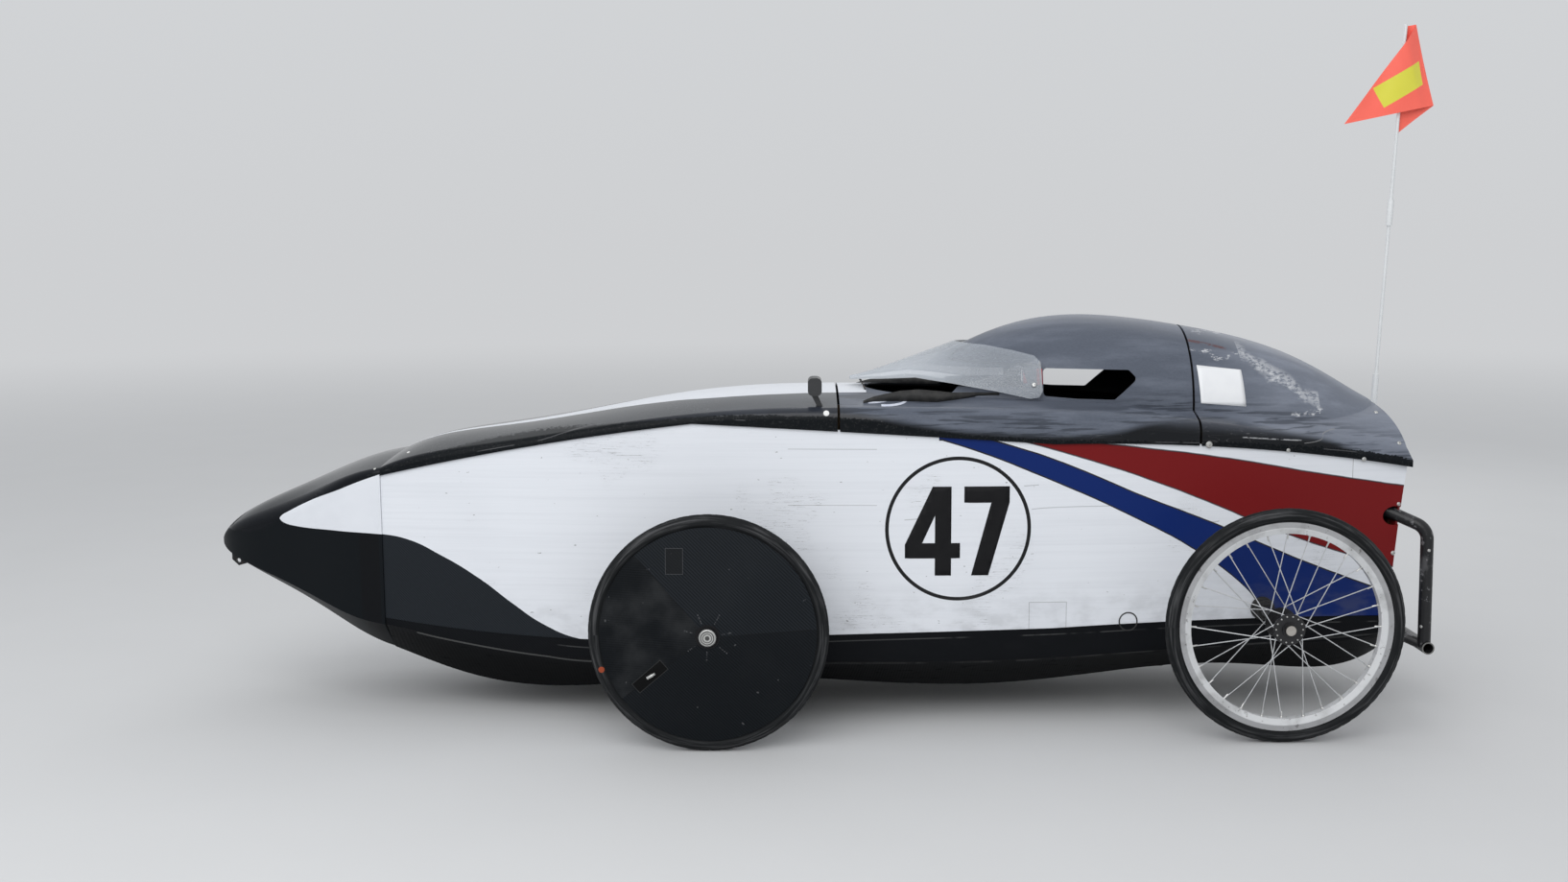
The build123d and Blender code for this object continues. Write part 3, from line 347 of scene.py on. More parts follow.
BLUE_HEAD = [
    (0.3, 0.608), (0.366, 0.588), (0.472, 0.554), (0.653, 0.478), (0.831, 0.407), (0.999, 0.333),
    (1.226, 0.247),
]
RED_FOOT = [(0.36, 0.604), (0.435, 0.584), (0.612, 0.53), (0.774, 0.47), (0.969, 0.388), (1.226, 0.304)]
RED_HEAD = [(0.4, 0.604), (0.671, 0.572), (0.785, 0.557), (0.915, 0.535), (1.062, 0.508), (1.226, 0.482)]
RING_PLACE = (0.285, 0.411)
RING_RADIUS, RING_LINE = 0.1445, 0.0075
LINE_HALF = 0.0016
BLUE_START, RED_START = 0.245, 0.38
LINE_COLOUR, RING_COLOUR = (0.02, 0.02, 0.025), (0.012, 0.012, 0.013)
SEAM_PLACE = (1.104, 0.485)
SHIM_X, SHIM_HALF, SHIM_HEAD, SHIM_EDGE = 0.47, 0.039, 0.258, 0.0013
SPLASH_FOOT = [(-0.4, 0.18), (0.03, 0.192), (0.48, 0.203), (0.86, 0.214), (1.226, 0.206)]


def boards(name):
    """White paint along a plywood face: its grain, hairline cracks and small chips."""
    finish = Finish(name, WHITE)
    grain = finish.noise(6.0, 6.0, 0.65, by=(0.35, 1, 22))
    hair = finish.noise(5.0, 2.0, by=(1.6, 1, 70)) - 0.5
    cracks = hair.within(0.0045) * finish.noise(4.5).over(0.56, 0.62)
    nicks = finish.noise(75.0, 1.0, by=(1, 1, 2.4)) > 0.79
    shade = grain.over(0.35, 0.8) * 0.3 + finish.noise(2.2, 2.0).over(0.45, 0.75) * 0.22
    finish.lay(shade, WHITE_SHADE)
    return finish, cracks * 0.7 + nicks * 0.6, grain * 0.6 - cracks - nicks * 0.8


# run along the panel and height of the longest open cracks and scratches in the paint
LONG_CRACKS = [
    ([(0.434, 0.45), (0.5, 0.454), (0.593, 0.455)], 0.0009), ([(0.176, 0.43), (0.206, 0.432)], 0.001),
    ([(0.418, 0.498), (0.448, 0.5)], 0.001), ([(0.8, 0.42), (0.812, 0.418), (0.822, 0.421)], 0.0014),
    ([(-0.06, 0.5755), (0.12, 0.5745)], 0.0008), ([(-0.06, 0.4605), (0.12, 0.46)], 0.0008),
]
panel, marks, height = boards("painted_boards")
x, z = panel.x, panel.z
wobble = panel.noise(14.0) * 0.003 - 0.0015
bands = (BLUE_FOOT, BLUE_HEAD, RED_FOOT, RED_HEAD)
blue_low, blue_high, red_low, red_high = [panel.above(points) + wobble for points in bands]
blue = (blue_low > 0) * (blue_high < 0) * (x > BLUE_START)
red = (red_low > 0) * (red_high < 0) * (x > RED_START)
ring = (distance(x - RING_PLACE[0], z - RING_PLACE[1]) - RING_RADIUS).within(RING_LINE / 2)
lines = (blue_low.within(LINE_HALF) + blue_high.within(LINE_HALF)) * (x > BLUE_START)
edging = (red_low.within(LINE_HALF) + red_high.within(LINE_HALF) * 0.6) * (x > RED_START)
black = (panel.above(WAVE) < 0) * (x < WAVE[-1][0])
seam = (x - SEAM_PLACE[0]).within(0.0007) * (z > SEAM_PLACE[1])
shim = (x - SHIM_X).within(SHIM_HALF) * (z < SHIM_HEAD)
shim_edge = shim - (x - SHIM_X).within(SHIM_HALF - SHIM_EDGE) * (z < SHIM_HEAD - SHIM_EDGE)
for points, half in LONG_CRACKS:
    marks = marks + panel.stroke(points, half) * 0.45
panel.lay(marks.over(0.0, 1.0), CRACK)
panel.lay(shim * 0.18, WHITE_SHADE)
panel.lay(seam * 0.6 + shim_edge * 0.55, CRACK)
panel.lay(red, RED)
panel.lay(blue, BLUE)
panel.lay(lines.over(0.2, 0.5) + edging.over(0.2, 0.5) * 0.8, LINE_COLOUR)
panel.lay(ring, RING_COLOUR)
weave = wales(x, z)
panel.lay(black, panel.mixed(weave * 0.6, (0.005, 0.007, 0.009), (0.022, 0.027, 0.035)))
splash = (1 - panel.above(SPLASH_FOOT).over(0.0, 0.12)) * panel.noise(3.0, by=(6, 1, 12)).over(0.4, 0.7)
panel.lay(splash * 0.22 * (1 - black), ROAD_DUST_AND_HIGHLIGHT)
# each panel's inner face is bare wood: there the surface faces the vehicle's middle
inner = panel.facing()[1] * panel.y < -0.1
panel.lay(inner, panel.mixed(panel.noise(6.0, 6.0, by=(1.2, 20, 20)), PLYWOOD, PLYWOOD_GRAIN))
panel.coat(Roughness=0.4 - black * 0.02 + splash * 0.2 + red * 0.05 + blue * 0.05,
           Specular_IOR_Level=0.14,
           Normal=panel.bump(height * (1 - black) + weave * black * 0.5, 0.0007, 0.35))
panel.on("side_panel_left", "side_panel_right")


# Number on the roundel: two black figures cut from sheet vinyl and stuck to the boards. Each
# outline is drawn from the ring's middle; the far side carries the same figures.
FIGURES_PLACE = (0.285, 0.409)
FIGURES = {
    "four": [[(-0.047, -0.094), (-0.014, -0.094), (-0.014, -0.058), (0.004, -0.058), (0.004, -0.027),
              (-0.014, -0.027), (-0.014, 0.089), (-0.052, 0.089), (-0.108, -0.03), (-0.108, -0.058),
              (-0.047, -0.058)], [(-0.047, -0.027), (-0.047, 0.03), (-0.073, -0.027)]],
    "seven": [[(0.012, 0.089), (0.104, 0.089), (0.104, 0.056), (0.062, -0.094), (0.027, -0.094),
               (0.067, 0.056), (0.012, 0.056)]],
}
FILM_CELL = 0.012
FILM_LIFT, FILM_THICKNESS = 0.0005, 0.0004
SIDES = {"left": -1, "right": 1}


def skin(node, place, direction):
    """Where a straight line first meets a CAD piece, and which way its surface faces there."""
    met, hit, normal, _ = shown[node].ray_cast(Vector(place), Vector(direction).normalized())
    if not met:
        raise ValueError(f"nothing of {node} lies beyond {tuple(place)}")
    return hit, normal


def fitted(piece, finish, body):
    """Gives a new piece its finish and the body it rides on."""
    finish.on(piece)
    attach(piece, body)


def thickened(piece, thickness, offset=-1):
    """Turns a piece made of one sheet into a solid of that thickness."""
    modifier = piece.modifiers.new("thickness", "SOLIDIFY")
    modifier.thickness, modifier.offset = thickness, offset


def drawn(name, lines, **settings):
    """A curve through lists of places. A flat one is closed and filled."""
    drawing = bpy.data.curves.new(name, "CURVE")
    for key, value in settings.items():
        setattr(drawing, key, value)
    for line in lines:
        spline = drawing.splines.new("POLY")
        spline.points.add(len(line) - 1)
        for point, place in zip(spline.points, line):
            point.co = (*place, 1)
        spline.use_cyclic_u = drawing.dimensions == "2D"
    return bpy.data.objects.new(name, drawing)


def film(name, outlines, node, sign, finish, body):
    """Thin sheet cut to outlines of (run, height), and laid on the flank of a CAD piece."""
    lines = [[(run, rise, 0) for run, rise in outline] for outline in outlines]
    pattern = drawn(name, lines, dimensions="2D", fill_mode="BOTH")
    flat = bpy.data.meshes.new_from_object(pattern)
    cut = bmesh.new()
    cut.from_mesh(flat)
    bpy.data.objects.remove(pattern)
    bpy.data.meshes.remove(flat)
    for facing in (Vector((1, 0, 0)), Vector((0, 1, 0))):
        places = [vert.co.dot(facing) for vert in cut.verts]
        low, high = min(places), max(places)
        cells = int((high - low) / FILM_CELL) + 1
        for cell in range(1, cells):
            where = facing * (low + (high - low) * cell / cells)
            everything = cut.verts[:] + cut.edges[:] + cut.faces[:]
            bmesh.ops.bisect_plane(cut, geom=everything, plane_co=where, plane_no=facing)
    for vert in cut.verts:
        hit, normal = skin(node, (vert.co.x, sign, vert.co.y), (0, -sign, 0))
        vert.co = hit + normal * FILM_LIFT
    bmesh.ops.recalc_face_normals(cut, faces=cut.faces)
    if sum(face.normal.y for face in cut.faces) * sign < 0:
        bmesh.ops.reverse_faces(cut, faces=cut.faces)
    piece = solid(name, cut)
    thickened(piece, FILM_THICKNESS)
    fitted(piece, finish, body)


def mottled(name, scale, under, over, rough, more=0, detail=3.0, by=(1, 1, 1), **sockets):
    """A plain finish in two tones of one noise, a little rougher where the second shows."""
    finish = Finish(name, under)
    tone = finish.noise(scale, detail, by=by)
    finish.lay(tone, over)
    return finish.coat(Roughness=rough + tone * more if more else rough, **sockets)


vinyl = mottled("black_vinyl", 40.0, (0.006, 0.006, 0.007), (0.013, 0.013, 0.014), 0.42)
vinyl.coat(Specular_IOR_Level=BLACK_SPECULAR, Normal=vinyl.bump(vinyl.noise(8.0, by=(1, 1, 18)), 0.0006, 0.3))
for side, sign in SIDES.items():
    for figure, outlines in FIGURES.items():
        placed = [[(FIGURES_PLACE[0] - sign * run, FIGURES_PLACE[1] + rise) for run, rise in outline]
                  for outline in outlines]
        film(f"number_{figure}_{side}", placed, f"side_panel_{side}", sign, vinyl, "hull")


# Screws, rivets and plugs: pan-headed screws hold the deck lips, the tail and the bumper,
# rivets the nose joint, and white nylon screws the hood. A black rubber plug closes a hole
# low on each side panel.
steel_screw = mottled("zinc_screw", 400.0, (0.42, 0.42, 0.41), (0.62, 0.62, 0.6), 0.32, 0.2, Metallic=0.85)
white_nylon = mottled("white_nylon", 220.0, (0.62, 0.62, 0.61), (0.8, 0.8, 0.79), 0.4)
black_rubber = Finish("black_rubber", (0.014, 0.014, 0.014))
black_rubber.lay(black_rubber.noise(60.0).over(0.4, 0.75) * 0.5, (0.055, 0.053, 0.05))
black_rubber.coat(Roughness=0.72, Normal=black_rubber.bump(black_rubber.noise(500.0), 0.0002, 0.4))
# name, CAD piece, run and height on the flank, radius
SCREWS = [
    ("panel_screw_0", "rear_deck", 0.795, 0.578, 0.007),
    ("panel_screw_1", "rear_deck", 0.962, 0.563, 0.0042),
    ("panel_screw_2", "rear_deck", 1.125, 0.541, 0.0048),
    ("panel_screw_3", "side_panel_{}", 1.208, 0.444, 0.0042),
    ("panel_screw_4", "side_panel_{}", 1.2, 0.341, 0.0048),
    ("panel_screw_5", "nose_cone", -0.919, 0.528, 0.003),
    ("tail_screw_0", "rear_deck", 1.18, 0.628, 0.0045),
    ("tail_screw_1", "rear_deck", 1.202, 0.572, 0.0045),
    ("bumper_rivet_0", "bumper", 1.262, 0.352, 0.0032),
    ("bumper_rivet_1", "bumper", 1.255, 0.19, 0.0032),
]
NYLON_SCREWS = [("nylon_screw_0", 0.018, 0.648, 0.0062), ("nylon_screw_1", -0.857, 0.557, 0.0036)]
# the profile of a screw's head with its recess, for a radius of 1
PAN_HEAD = [(0, 0.12), (0.32, 0.12), (0.36, 0.5), (0.75, 0.42), (1, 0.1), (1, -0.3), (0, -0.3)]
PLUG_PLACE = (0.637, 0.214)
PLUG = [(0, -0.001), (0.0165, -0.001), (0.0175, 0.0008), (0.0195, 0.0008), (0.0205, -0.0005)]


def woven(mesh, rows):
    """Fills the space between rows of corners with faces. Corners that coincide count once."""
    for low, high in zip(rows, rows[1:]):
        for ring in zip(low, low[1:], high[1:], high):
            corners = [vert for number, vert in enumerate(ring) if vert not in ring[:number]]
            if len(corners) > 2:
                mesh.faces.new(corners)


def turned(profile, steps=24):
    """Mesh turned about its own z axis from (radius, height) points."""
    mesh = bmesh.new()
    rows = []
    for radius, height in profile:
        turns = [2 * pi * i / steps for i in range(steps if radius else 1)]
        row = [mesh.verts.new((radius * cos(turn), radius * sin(turn), height)) for turn in turns]
        rows.append(row + row[:1] if radius else row * (steps + 1))
    woven(mesh, rows)
    bmesh.ops.recalc_face_normals(mesh, faces=mesh.faces)
    return mesh


def stood(name, mesh, hit, normal, finish, body):
    """Stands a turned mesh on a surface and lets it ride there."""
    piece = solid(name, mesh)
    piece.matrix_world = Matrix.Translation(hit) @ normal.to_track_quat("Z", "Y").to_matrix().to_4x4()
    fitted(piece, finish, body)


def paired(name, node, run, rise, profile, finish, body, slot, steps=24):
    """Stands one turned part on each flank of a CAD piece."""
    for side, sign in SIDES.items():
        hit, normal = skin(node.format(side), (run, sign, rise), (0, -sign, 0))
        stood(f"{name}_{side}", turned(profile, steps), hit, normal, finish, body)


def pan_head(radius):
    return [(radius * out, radius * up) for out, up in PAN_HEAD]


for name, node, run, rise, radius in SCREWS:
    paired(name, node, run, rise, pan_head(radius), steel_screw, "hull", "steel")
for name, run, rise, radius in NYLON_SCREWS:
    dome = [(0, 0.0022), (radius * 0.6, 0.0019), (radius * 0.95, 0.0009), (radius, -0.001)]
    paired(name, "hood", run, rise, dome, white_nylon, "hull", "white_panel")
paired("plug", "side_panel_{}", *PLUG_PLACE, PLUG, black_rubber, "hull", "rubber", 40)


# Nose cone: a carbon moulding sprayed gloss black above, with a white wedge brushed on that
# carries the side panels' white forward. Its keel stays matt; its rear edge laps the joint.
BLACK_PAINT = (0.0045, 0.0055, 0.0075)
DULL_BLACK = (0.0032, 0.0046, 0.006)
# colour of settled dust and of the painted sky sheen on the decks
DUST_AND_SKY_SHEEN = (0.088, 0.1, 0.13)
WEDGE_HEAD = [
    (-1.146, 0.413), (-1.14, 0.42), (-1.124, 0.429), (-1.062, 0.459), (-1.002, 0.482), (-0.955, 0.501),
    (-0.9, 0.52),
]
GLOSS_FOOT = [
    (-1.23, 0.378), (-1.195, 0.386), (-1.136, 0.419), (-1.074, 0.452), (-1.008, 0.484), (-0.954, 0.501),
    (-0.925, 0.521),
]
SPECK_COLOUR = (0.26, 0.26, 0.27)
SHELL_AXIS_Z = 0.45
WEDGE_TIP = -1.1455


class Deck(Finish):
    """Sprayed black paint over a moulding, with orange peel, scratches, settled dust and a painted sky sheen
    on faces turned upward.
    """

    def __init__(self, name):
        super().__init__(name, BLACK_PAINT)
        _, aside, up = self.facing()
        self.inside = aside * self.y + up * (self.z - SHELL_AXIS_Z) < -0.03
        # settled dust and painted sky sheen: paler on faces turned upward, and more towards the back
        dust = self.noise(2.0, 5.0, by=(2, 6, 6)).over(0.3, 0.8) * 0.6 + 0.4
        dust = dust * up.over(0.05, 0.85) * (self.x.over(-0.55, 0.05) * 0.85 + 0.15)
        hairs = self.noise(4.0, 1.0, by=(3, 30, 30)) - 0.5
        scratches = hairs.within(0.004) * self.noise(6.0).over(0.5, 0.6)
        specks = self.noise(240.0, 1.0) > 0.79
        self.rough = 0.13 + dust * 0.12 + scratches * 0.15
        self.gloss = 1.0
        self.lay(dust * 0.45, DUST_AND_SKY_SHEEN)
        self.lay(specks * 0.22 + scratches * 0.25, SPECK_COLOUR)

    def lay(self, mask, colour, rough=None):
        """Lays another colour over the paint where the mask is 1, with its own roughness."""
        super().lay(mask, colour)
        if rough is not None:
            self.rough = self.rough * (1 - mask) + mask * rough
            self.gloss = self.gloss * (1 - mask)

    def white(self, mask):
        """Brushed white paint that shows its strokes along the deck."""
        strokes = self.noise(6.0, 4.0, by=(0.6, 14, 6))
        soiled = self.noise(5.0, 4.0, by=(6, 3, 3)).over(0.6, 0.75)
        self.lay(mask, self.mixed(strokes * 0.35 + soiled * 0.25 + 0.12, WHITE, WHITE_SHADE), 0.32)

    def finished(self, node):
        """Blackens the inner face, sets the surface and gives it to a CAD node."""
        self.lay(self.inside, DULL_BLACK, 0.5)
        peel = self.noise(130.0, 2.0) * 0.3 + self.noise(9.0, 1.0) * 1.2
        clear = self.gloss * (self.x.over(-0.6, 0.0) * 0.32 + 0.08)
        self.coat(Roughness=self.rough, Coat_Weight=clear, Coat_Roughness=0.06, Specular_IOR_Level=0.09,
                  Normal=self.bump(peel, 0.001, 0.35))
        self.on(node)


nose = Deck("nose_paint")
drip = nose.noise(70.0, 2.0, by=(1, 1, 0.15)) * 0.012 - 0.006
matt = 1 - (nose.above(GLOSS_FOOT) + drip > 0)
nose.lay(matt, nose.mixed(wales(nose.x, nose.z) * 0.5, DULL_BLACK, (0.007, 0.009, 0.0115)), 0.46)
nose.white((nose.above(WAVE) > 0) * (nose.above(WEDGE_HEAD) < 0) * (nose.x > WEDGE_TIP))
joint_tape = (nose.x + 0.935).within(0.021) * (nose.z < 0.392)
nose.lay(joint_tape * 0.6, (0.004, 0.004, 0.005))
nose.finished("nose_cone")

hook_black = Finish("hook_paint", (0.008, 0.008, 0.009))
chips = hook_black.noise(160.0).over(0.62, 0.68)
hook_black.lay(chips, (0.16, 0.1, 0.07))
hook_black.coat(Roughness=0.4 + chips * 0.3, Specular_IOR_Level=0.3)
hook_black.on("nose_hook")


# Hood: the deck moulding ahead of the cockpit, gloss black over its shoulders and white
# along its crown. Its rolled lip laps the side panels under a rougher, speckled band.
LIP = [
    (-0.907, 0.515), (-0.59, 0.579), (-0.253, 0.627), (0.11, 0.607), (0.48, 0.583), (0.86, 0.57),
    (1.266, 0.516),
]
BAND_HEAD = [
    (-0.925, 0.521), (-0.752, 0.574), (-0.627, 0.598), (-0.488, 0.618), (-0.294, 0.636), (-0.177, 0.644),
    (-0.003, 0.642), (0.055, 0.639), (0.209, 0.615), (0.364, 0.599), (0.48, 0.592), (0.86, 0.581),
    (1.266, 0.528),
]
CROWN_HALF = [
    (-0.95, 0.01), (-0.8, 0.015), (-0.64, 0.028), (-0.46, 0.056), (-0.3, 0.1), (-0.15, 0.13), (0.05, 0.122),
    (0.11, 0.116),
]
CROWN_END = 0.104


def banded(deck):
    """Adds the dull, speckled band over the lip, and a painted highlight along the lip's fold."""
    ragged = deck.noise(210.0, 1.0) * 0.012 - 0.006
    grit = deck.noise(300.0, 1.0).over(0.6, 0.66)
    band = deck.above(BAND_HEAD) + ragged < 0
    deck.lay(band * 0.95, deck.mixed(grit * 0.5, DULL_BLACK, (0.035, 0.035, 0.036)), 0.42)
    # painted highlight along the lip's fold, made into irregular dashes
    broken_highlight = deck.noise(2.2, 3.0, by=(5, 1, 1)).over(0.52, 0.58)
    deck.lay((deck.above(LIP) - 0.008).within(0.0009) * broken_highlight * 0.3, (0.2, 0.2, 0.21))


def crowned(deck):
    """How far a place lies inside the white field along the crown."""
    return deck.along(CROWN_HALF) - abs(deck.y)


hood = Deck("hood_paint")
banded(hood)
crown = crowned(hood)
hood.white(crown > 0)
hood.lay(crown.within(0.0016) * 0.5, (0.03, 0.03, 0.03))
hood.finished("hood")


# Canopy and rear deck: the same moulding carried over the rider's head, flatted to a satin
# slate black by sun and dust. Red tape closes its window corners, and cards of blank plastic
# sit on the deck. Pale streaks on the deck are painted sky reflections, and a painted
# highlight runs along its lip.
SLATE, SLATE_DUST = (0.078, 0.09, 0.116), (0.165, 0.184, 0.228)
TAIL_PALE = (0.265, 0.29, 0.345)
DOME_FOOT = [
    (0.053, 0.647), (0.202, 0.619), (0.334, 0.601), (0.553, 0.594), (0.727, 0.622), (0.817, 0.618),
    (0.908, 0.602), (1.03, 0.58), (1.115, 0.55), (1.191, 0.534), (1.23, 0.528),
]
RIM_MARKS = [[(0.104, 0.665), (0.125, 0.6655), (0.146, 0.668)],
             [(0.13, 0.661), (0.157, 0.6615), (0.186, 0.668)]]


def domed(deck):
    """Adds the satin dome above the shoulder, with long pale smears and painted shade in the dip at its foot.
    """
    above = deck.above(DOME_FOOT)
    dome = above.over(-0.003, 0.016)
    grain = deck.noise(190.0, 2.0, by=(1, 2, 2))
    smears = deck.noise(2.4, 6.0, 0.62, by=(2.0, 9, 11)).over(0.4, 0.74)
    # painted shade: darker streaks in the dip just above the dome's foot
    hollow_shade = (1 - above.over(0.025, 0.075)) * deck.noise(5.0, 5.0, by=(1.5, 3, 26)).over(0.5, 0.57)
    slate = deck.mixed(smears * 0.55 + grain * 0.35, SLATE, SLATE_DUST)
    # the slate turns paler towards the tail
    slate = deck.mixed(deck.x.over(0.78, 0.98) * (0.6 + smears * 0.4) * 0.62, slate, TAIL_PALE)
    slate = deck.mixed(hollow_shade * 0.6, slate, (0.022, 0.026, 0.034))
    deck.lay(dome * 0.92, slate)
    deck.rough = deck.rough + dome * (0.14 + smears * 0.16)
    deck.gloss = 1 - dome * 0.8


canopy = Deck("canopy_paint")
domed(canopy)
banded(canopy)
canopy.white((crowned(canopy) > 0) * (canopy.x < CROWN_END))
rim_paint = canopy.mixed(canopy.noise(55.0), (0.4, 0.46, 0.64), (0.78, 0.79, 0.81))
for points in RIM_MARKS:
    canopy.lay(canopy.stroke(points, 0.0014), rim_paint, 0.3)
canopy.finished("canopy")

# painted sky reflections on the deck: line along the deck, half its width, how pale it is, and how much of it
# is broken up
SKY_GLARES = [
    ([(0.778, 0.768), (0.798, 0.76), (0.841, 0.753), (0.885, 0.75)], 0.0048, 0.85, 0.5),
    ([(0.886, 0.757), (0.932, 0.727), (0.977, 0.699), (1.012, 0.674), (1.05, 0.655)], 0.023, 0.46, 0.42),
    ([(0.886, 0.757), (0.932, 0.724), (0.977, 0.692), (1.012, 0.668)], 0.011, 0.8, 0.54),
    ([(0.985, 0.628), (1.022, 0.634), (1.057, 0.64)], 0.0065, 0.9, 0.5),
    ([(0.796, 0.809), (0.834, 0.802), (0.884, 0.791)], 0.0065, 0.55, 0.46),
]
GLARE_WANDER, GLARE_PALE = 0.045, (0.6, 0.61, 0.63)
LIP_HIGHLIGHT = [(0.864, 0.592), (0.942, 0.586), (0.99, 0.583)]
DECK_CRACK = [(0.996, 0.577), (1.033, 0.584), (1.04, 0.594), (1.07, 0.602)]
RED_RUB = [(0.775, 0.783), (0.819, 0.774), (0.861, 0.764)]
rear = Deck("rear_deck_paint")
domed(rear)
banded(rear)
flecks = rear.noise(11.0, 5.0, 0.72, by=(7, 7, 16))
wander = rear.noise(26.0, 3.0) * GLARE_WANDER - GLARE_WANDER / 2
for points, half, pale, whole in SKY_GLARES:
    # painted sky reflections, pale and in patches
    rear.lay(rear.stroke(points, half, wander) * flecks.over(whole, whole + 0.1) * pale, GLARE_PALE, 0.5)
# painted highlight along the lip's fold
rear.lay(rear.stroke(LIP_HIGHLIGHT, 0.0012) * flecks.over(0.4, 0.5) * 0.5, GLARE_PALE, 0.5)
rear.lay(rear.stroke(RED_RUB, 0.0026) * flecks.over(0.42, 0.54) * 0.7, (0.105, 0.035, 0.032))
rear.lay(rear.stroke(DECK_CRACK, 0.0008) * 0.7, (0.22, 0.22, 0.22))
rear.finished("rear_deck")

red_tape = Finish("red_tape", (0.42, 0.016, 0.018))
creases = red_tape.noise(180.0, 2.0, by=(1, 1, 0.3))
red_tape.lay(creases, (0.62, 0.035, 0.035))
red_tape.coat(Roughness=0.34, Normal=red_tape.bump(creases, 0.0004, 0.5))
card_white = mottled("card_plastic", 30.0, (0.7, 0.71, 0.73), (0.78, 0.79, 0.8), 0.35)
WINDOW_TAPES = {"pillar": [(0.455, 0.695), (0.4667, 0.695), (0.4667, 0.7275), (0.455, 0.7275)],
                "opening": [(0.4275, 0.724), (0.4275, 0.698), (0.436, 0.698)]}
CARD = [(0.788, 0.733), (0.883, 0.722), (0.888, 0.648), (0.793, 0.656)]
for side, sign in SIDES.items():
    for corner, outline in WINDOW_TAPES.items():
        film(f"{corner}_tape_{side}", [outline], "canopy", sign, red_tape, "canopy_section")
    film(f"start_card_{side}", [CARD], "rear_deck", sign, card_white, "hull")


# Visor: one sheet of plastic, clear when new and now frosted by years of wiping, on two bolts
# and two thin front struts. Only the field beside the rider's eyes is still polished. A
# rubber lip edges the opening under it.
FIELD_FOOT = [(0.276, 0.745), (0.3, 0.742), (0.46, 0.736)]
FIELD_HEAD = [(0.276, 0.747), (0.333, 0.777), (0.46, 0.8)]
VISOR_HEM = [(0.072, 0.6975), (0.207, 0.707), (0.283, 0.697), (0.374, 0.682), (0.438, 0.668), (0.462, 0.668)]
FIELD_START, VISOR_END = 0.276, 0.4605
visor = Finish("frosted_visor", (0.6, 0.64, 0.69))
haze = visor.noise(4.0, 5.0, by=(3, 8, 8)).over(0.35, 0.8)
scratches = (visor.noise(3.0, 1.0, by=(12, 40, 40)) - 0.5).within(0.006)
above_foot, above_head = visor.above(FIELD_FOOT), visor.above(FIELD_HEAD)
field = (above_foot > 0) * (above_head < 0) * (visor.x > FIELD_START)
field_line = (above_foot.within(0.0009) + above_head.within(0.0009)) * (visor.x > FIELD_START) > 0
tail_end = visor.x.over(0.15, 0.4)
edge = visor.above(VISOR_HEM).within(0.0014) + (visor.x - VISOR_END).within(0.0022) > 0
visor.lay(tail_end * 0.8 + haze * 0.2, (0.31, 0.34, 0.38))
visor.lay(field_line * 0.5 + edge * 0.5, (0.16, 0.17, 0.18))
frost = 0.46 + haze * 0.14 - tail_end * 0.06 - field * 0.03 + scratches * 0.15
visor.coat(Roughness=0.1 + haze * 0.14, Alpha=frost + field_line * 0.25 + edge * 0.4, IOR=1.45)
visor.on("visor")
bolt_grey = mottled("bolt_steel", 300.0, (0.38, 0.38, 0.38), (0.6, 0.6, 0.59), 0.28, 0.2, Metallic=0.9)
bolt_grey.on("visor_bolts", "hinge_fixed", "hinge_lid", "skid_bar")
paired("visor_bolt_head", "visor", 0.447, 0.696, pan_head(0.0052), bolt_grey, "canopy_section", "steel")
STRUT_HEAD, STRUT_RUN = Vector((0.093, 0.035, 0.6975)), Vector((0.01, 0.05, -0.03))
STRUT_RADIUS, STRUT_BOW = 0.0016, Vector((0.001, 0, 0))
# run, height where it stands on the canopy, and height of its top
LIP_POINTS = [
    (0.094, 0.664, 0.669), (0.115, 0.666, 0.676), (0.138, 0.666, 0.681), (0.17, 0.666, 0.687),
    (0.208, 0.665, 0.69), (0.245, 0.664, 0.687), (0.278, 0.666, 0.682), (0.33, 0.671, 0.679),
    (0.378, 0.673, 0.679),
]
LIP_THICKNESS, LIP_SINK = 0.0018, 0.001
for side, sign in SIDES.items():
    flipped = Vector((1, sign, 1))
    head = STRUT_HEAD * flipped
    foot, _ = skin("canopy", (STRUT_HEAD + STRUT_RUN) * flipped + Vector((0, 0, 0.1)), (0, 0, -1))
    bent = [head, head.lerp(foot, 0.5) + STRUT_BOW, foot]
    strut = drawn(f"visor_strut_{side}", [bent], dimensions="3D", bevel_depth=STRUT_RADIUS,
                  bevel_resolution=3, use_fill_caps=True)
    bpy.context.scene.collection.objects.link(strut)
    fitted(strut, hook_black, "canopy_section")
    strip = bmesh.new()
    feet, heads = [], []
    for run, low, high in LIP_POINTS:
        hit, normal = skin("canopy", (run, sign, low), (0, -sign, 0))
        feet.append(strip.verts.new(hit - normal * LIP_SINK))
        heads.append(strip.verts.new((hit.x, hit.y, high)))
    woven(strip, [feet, heads])
    lip = solid(f"opening_lip_{side}", strip)
    thickened(lip, LIP_THICKNESS, 0)
    fitted(lip, black_rubber, "canopy_section")


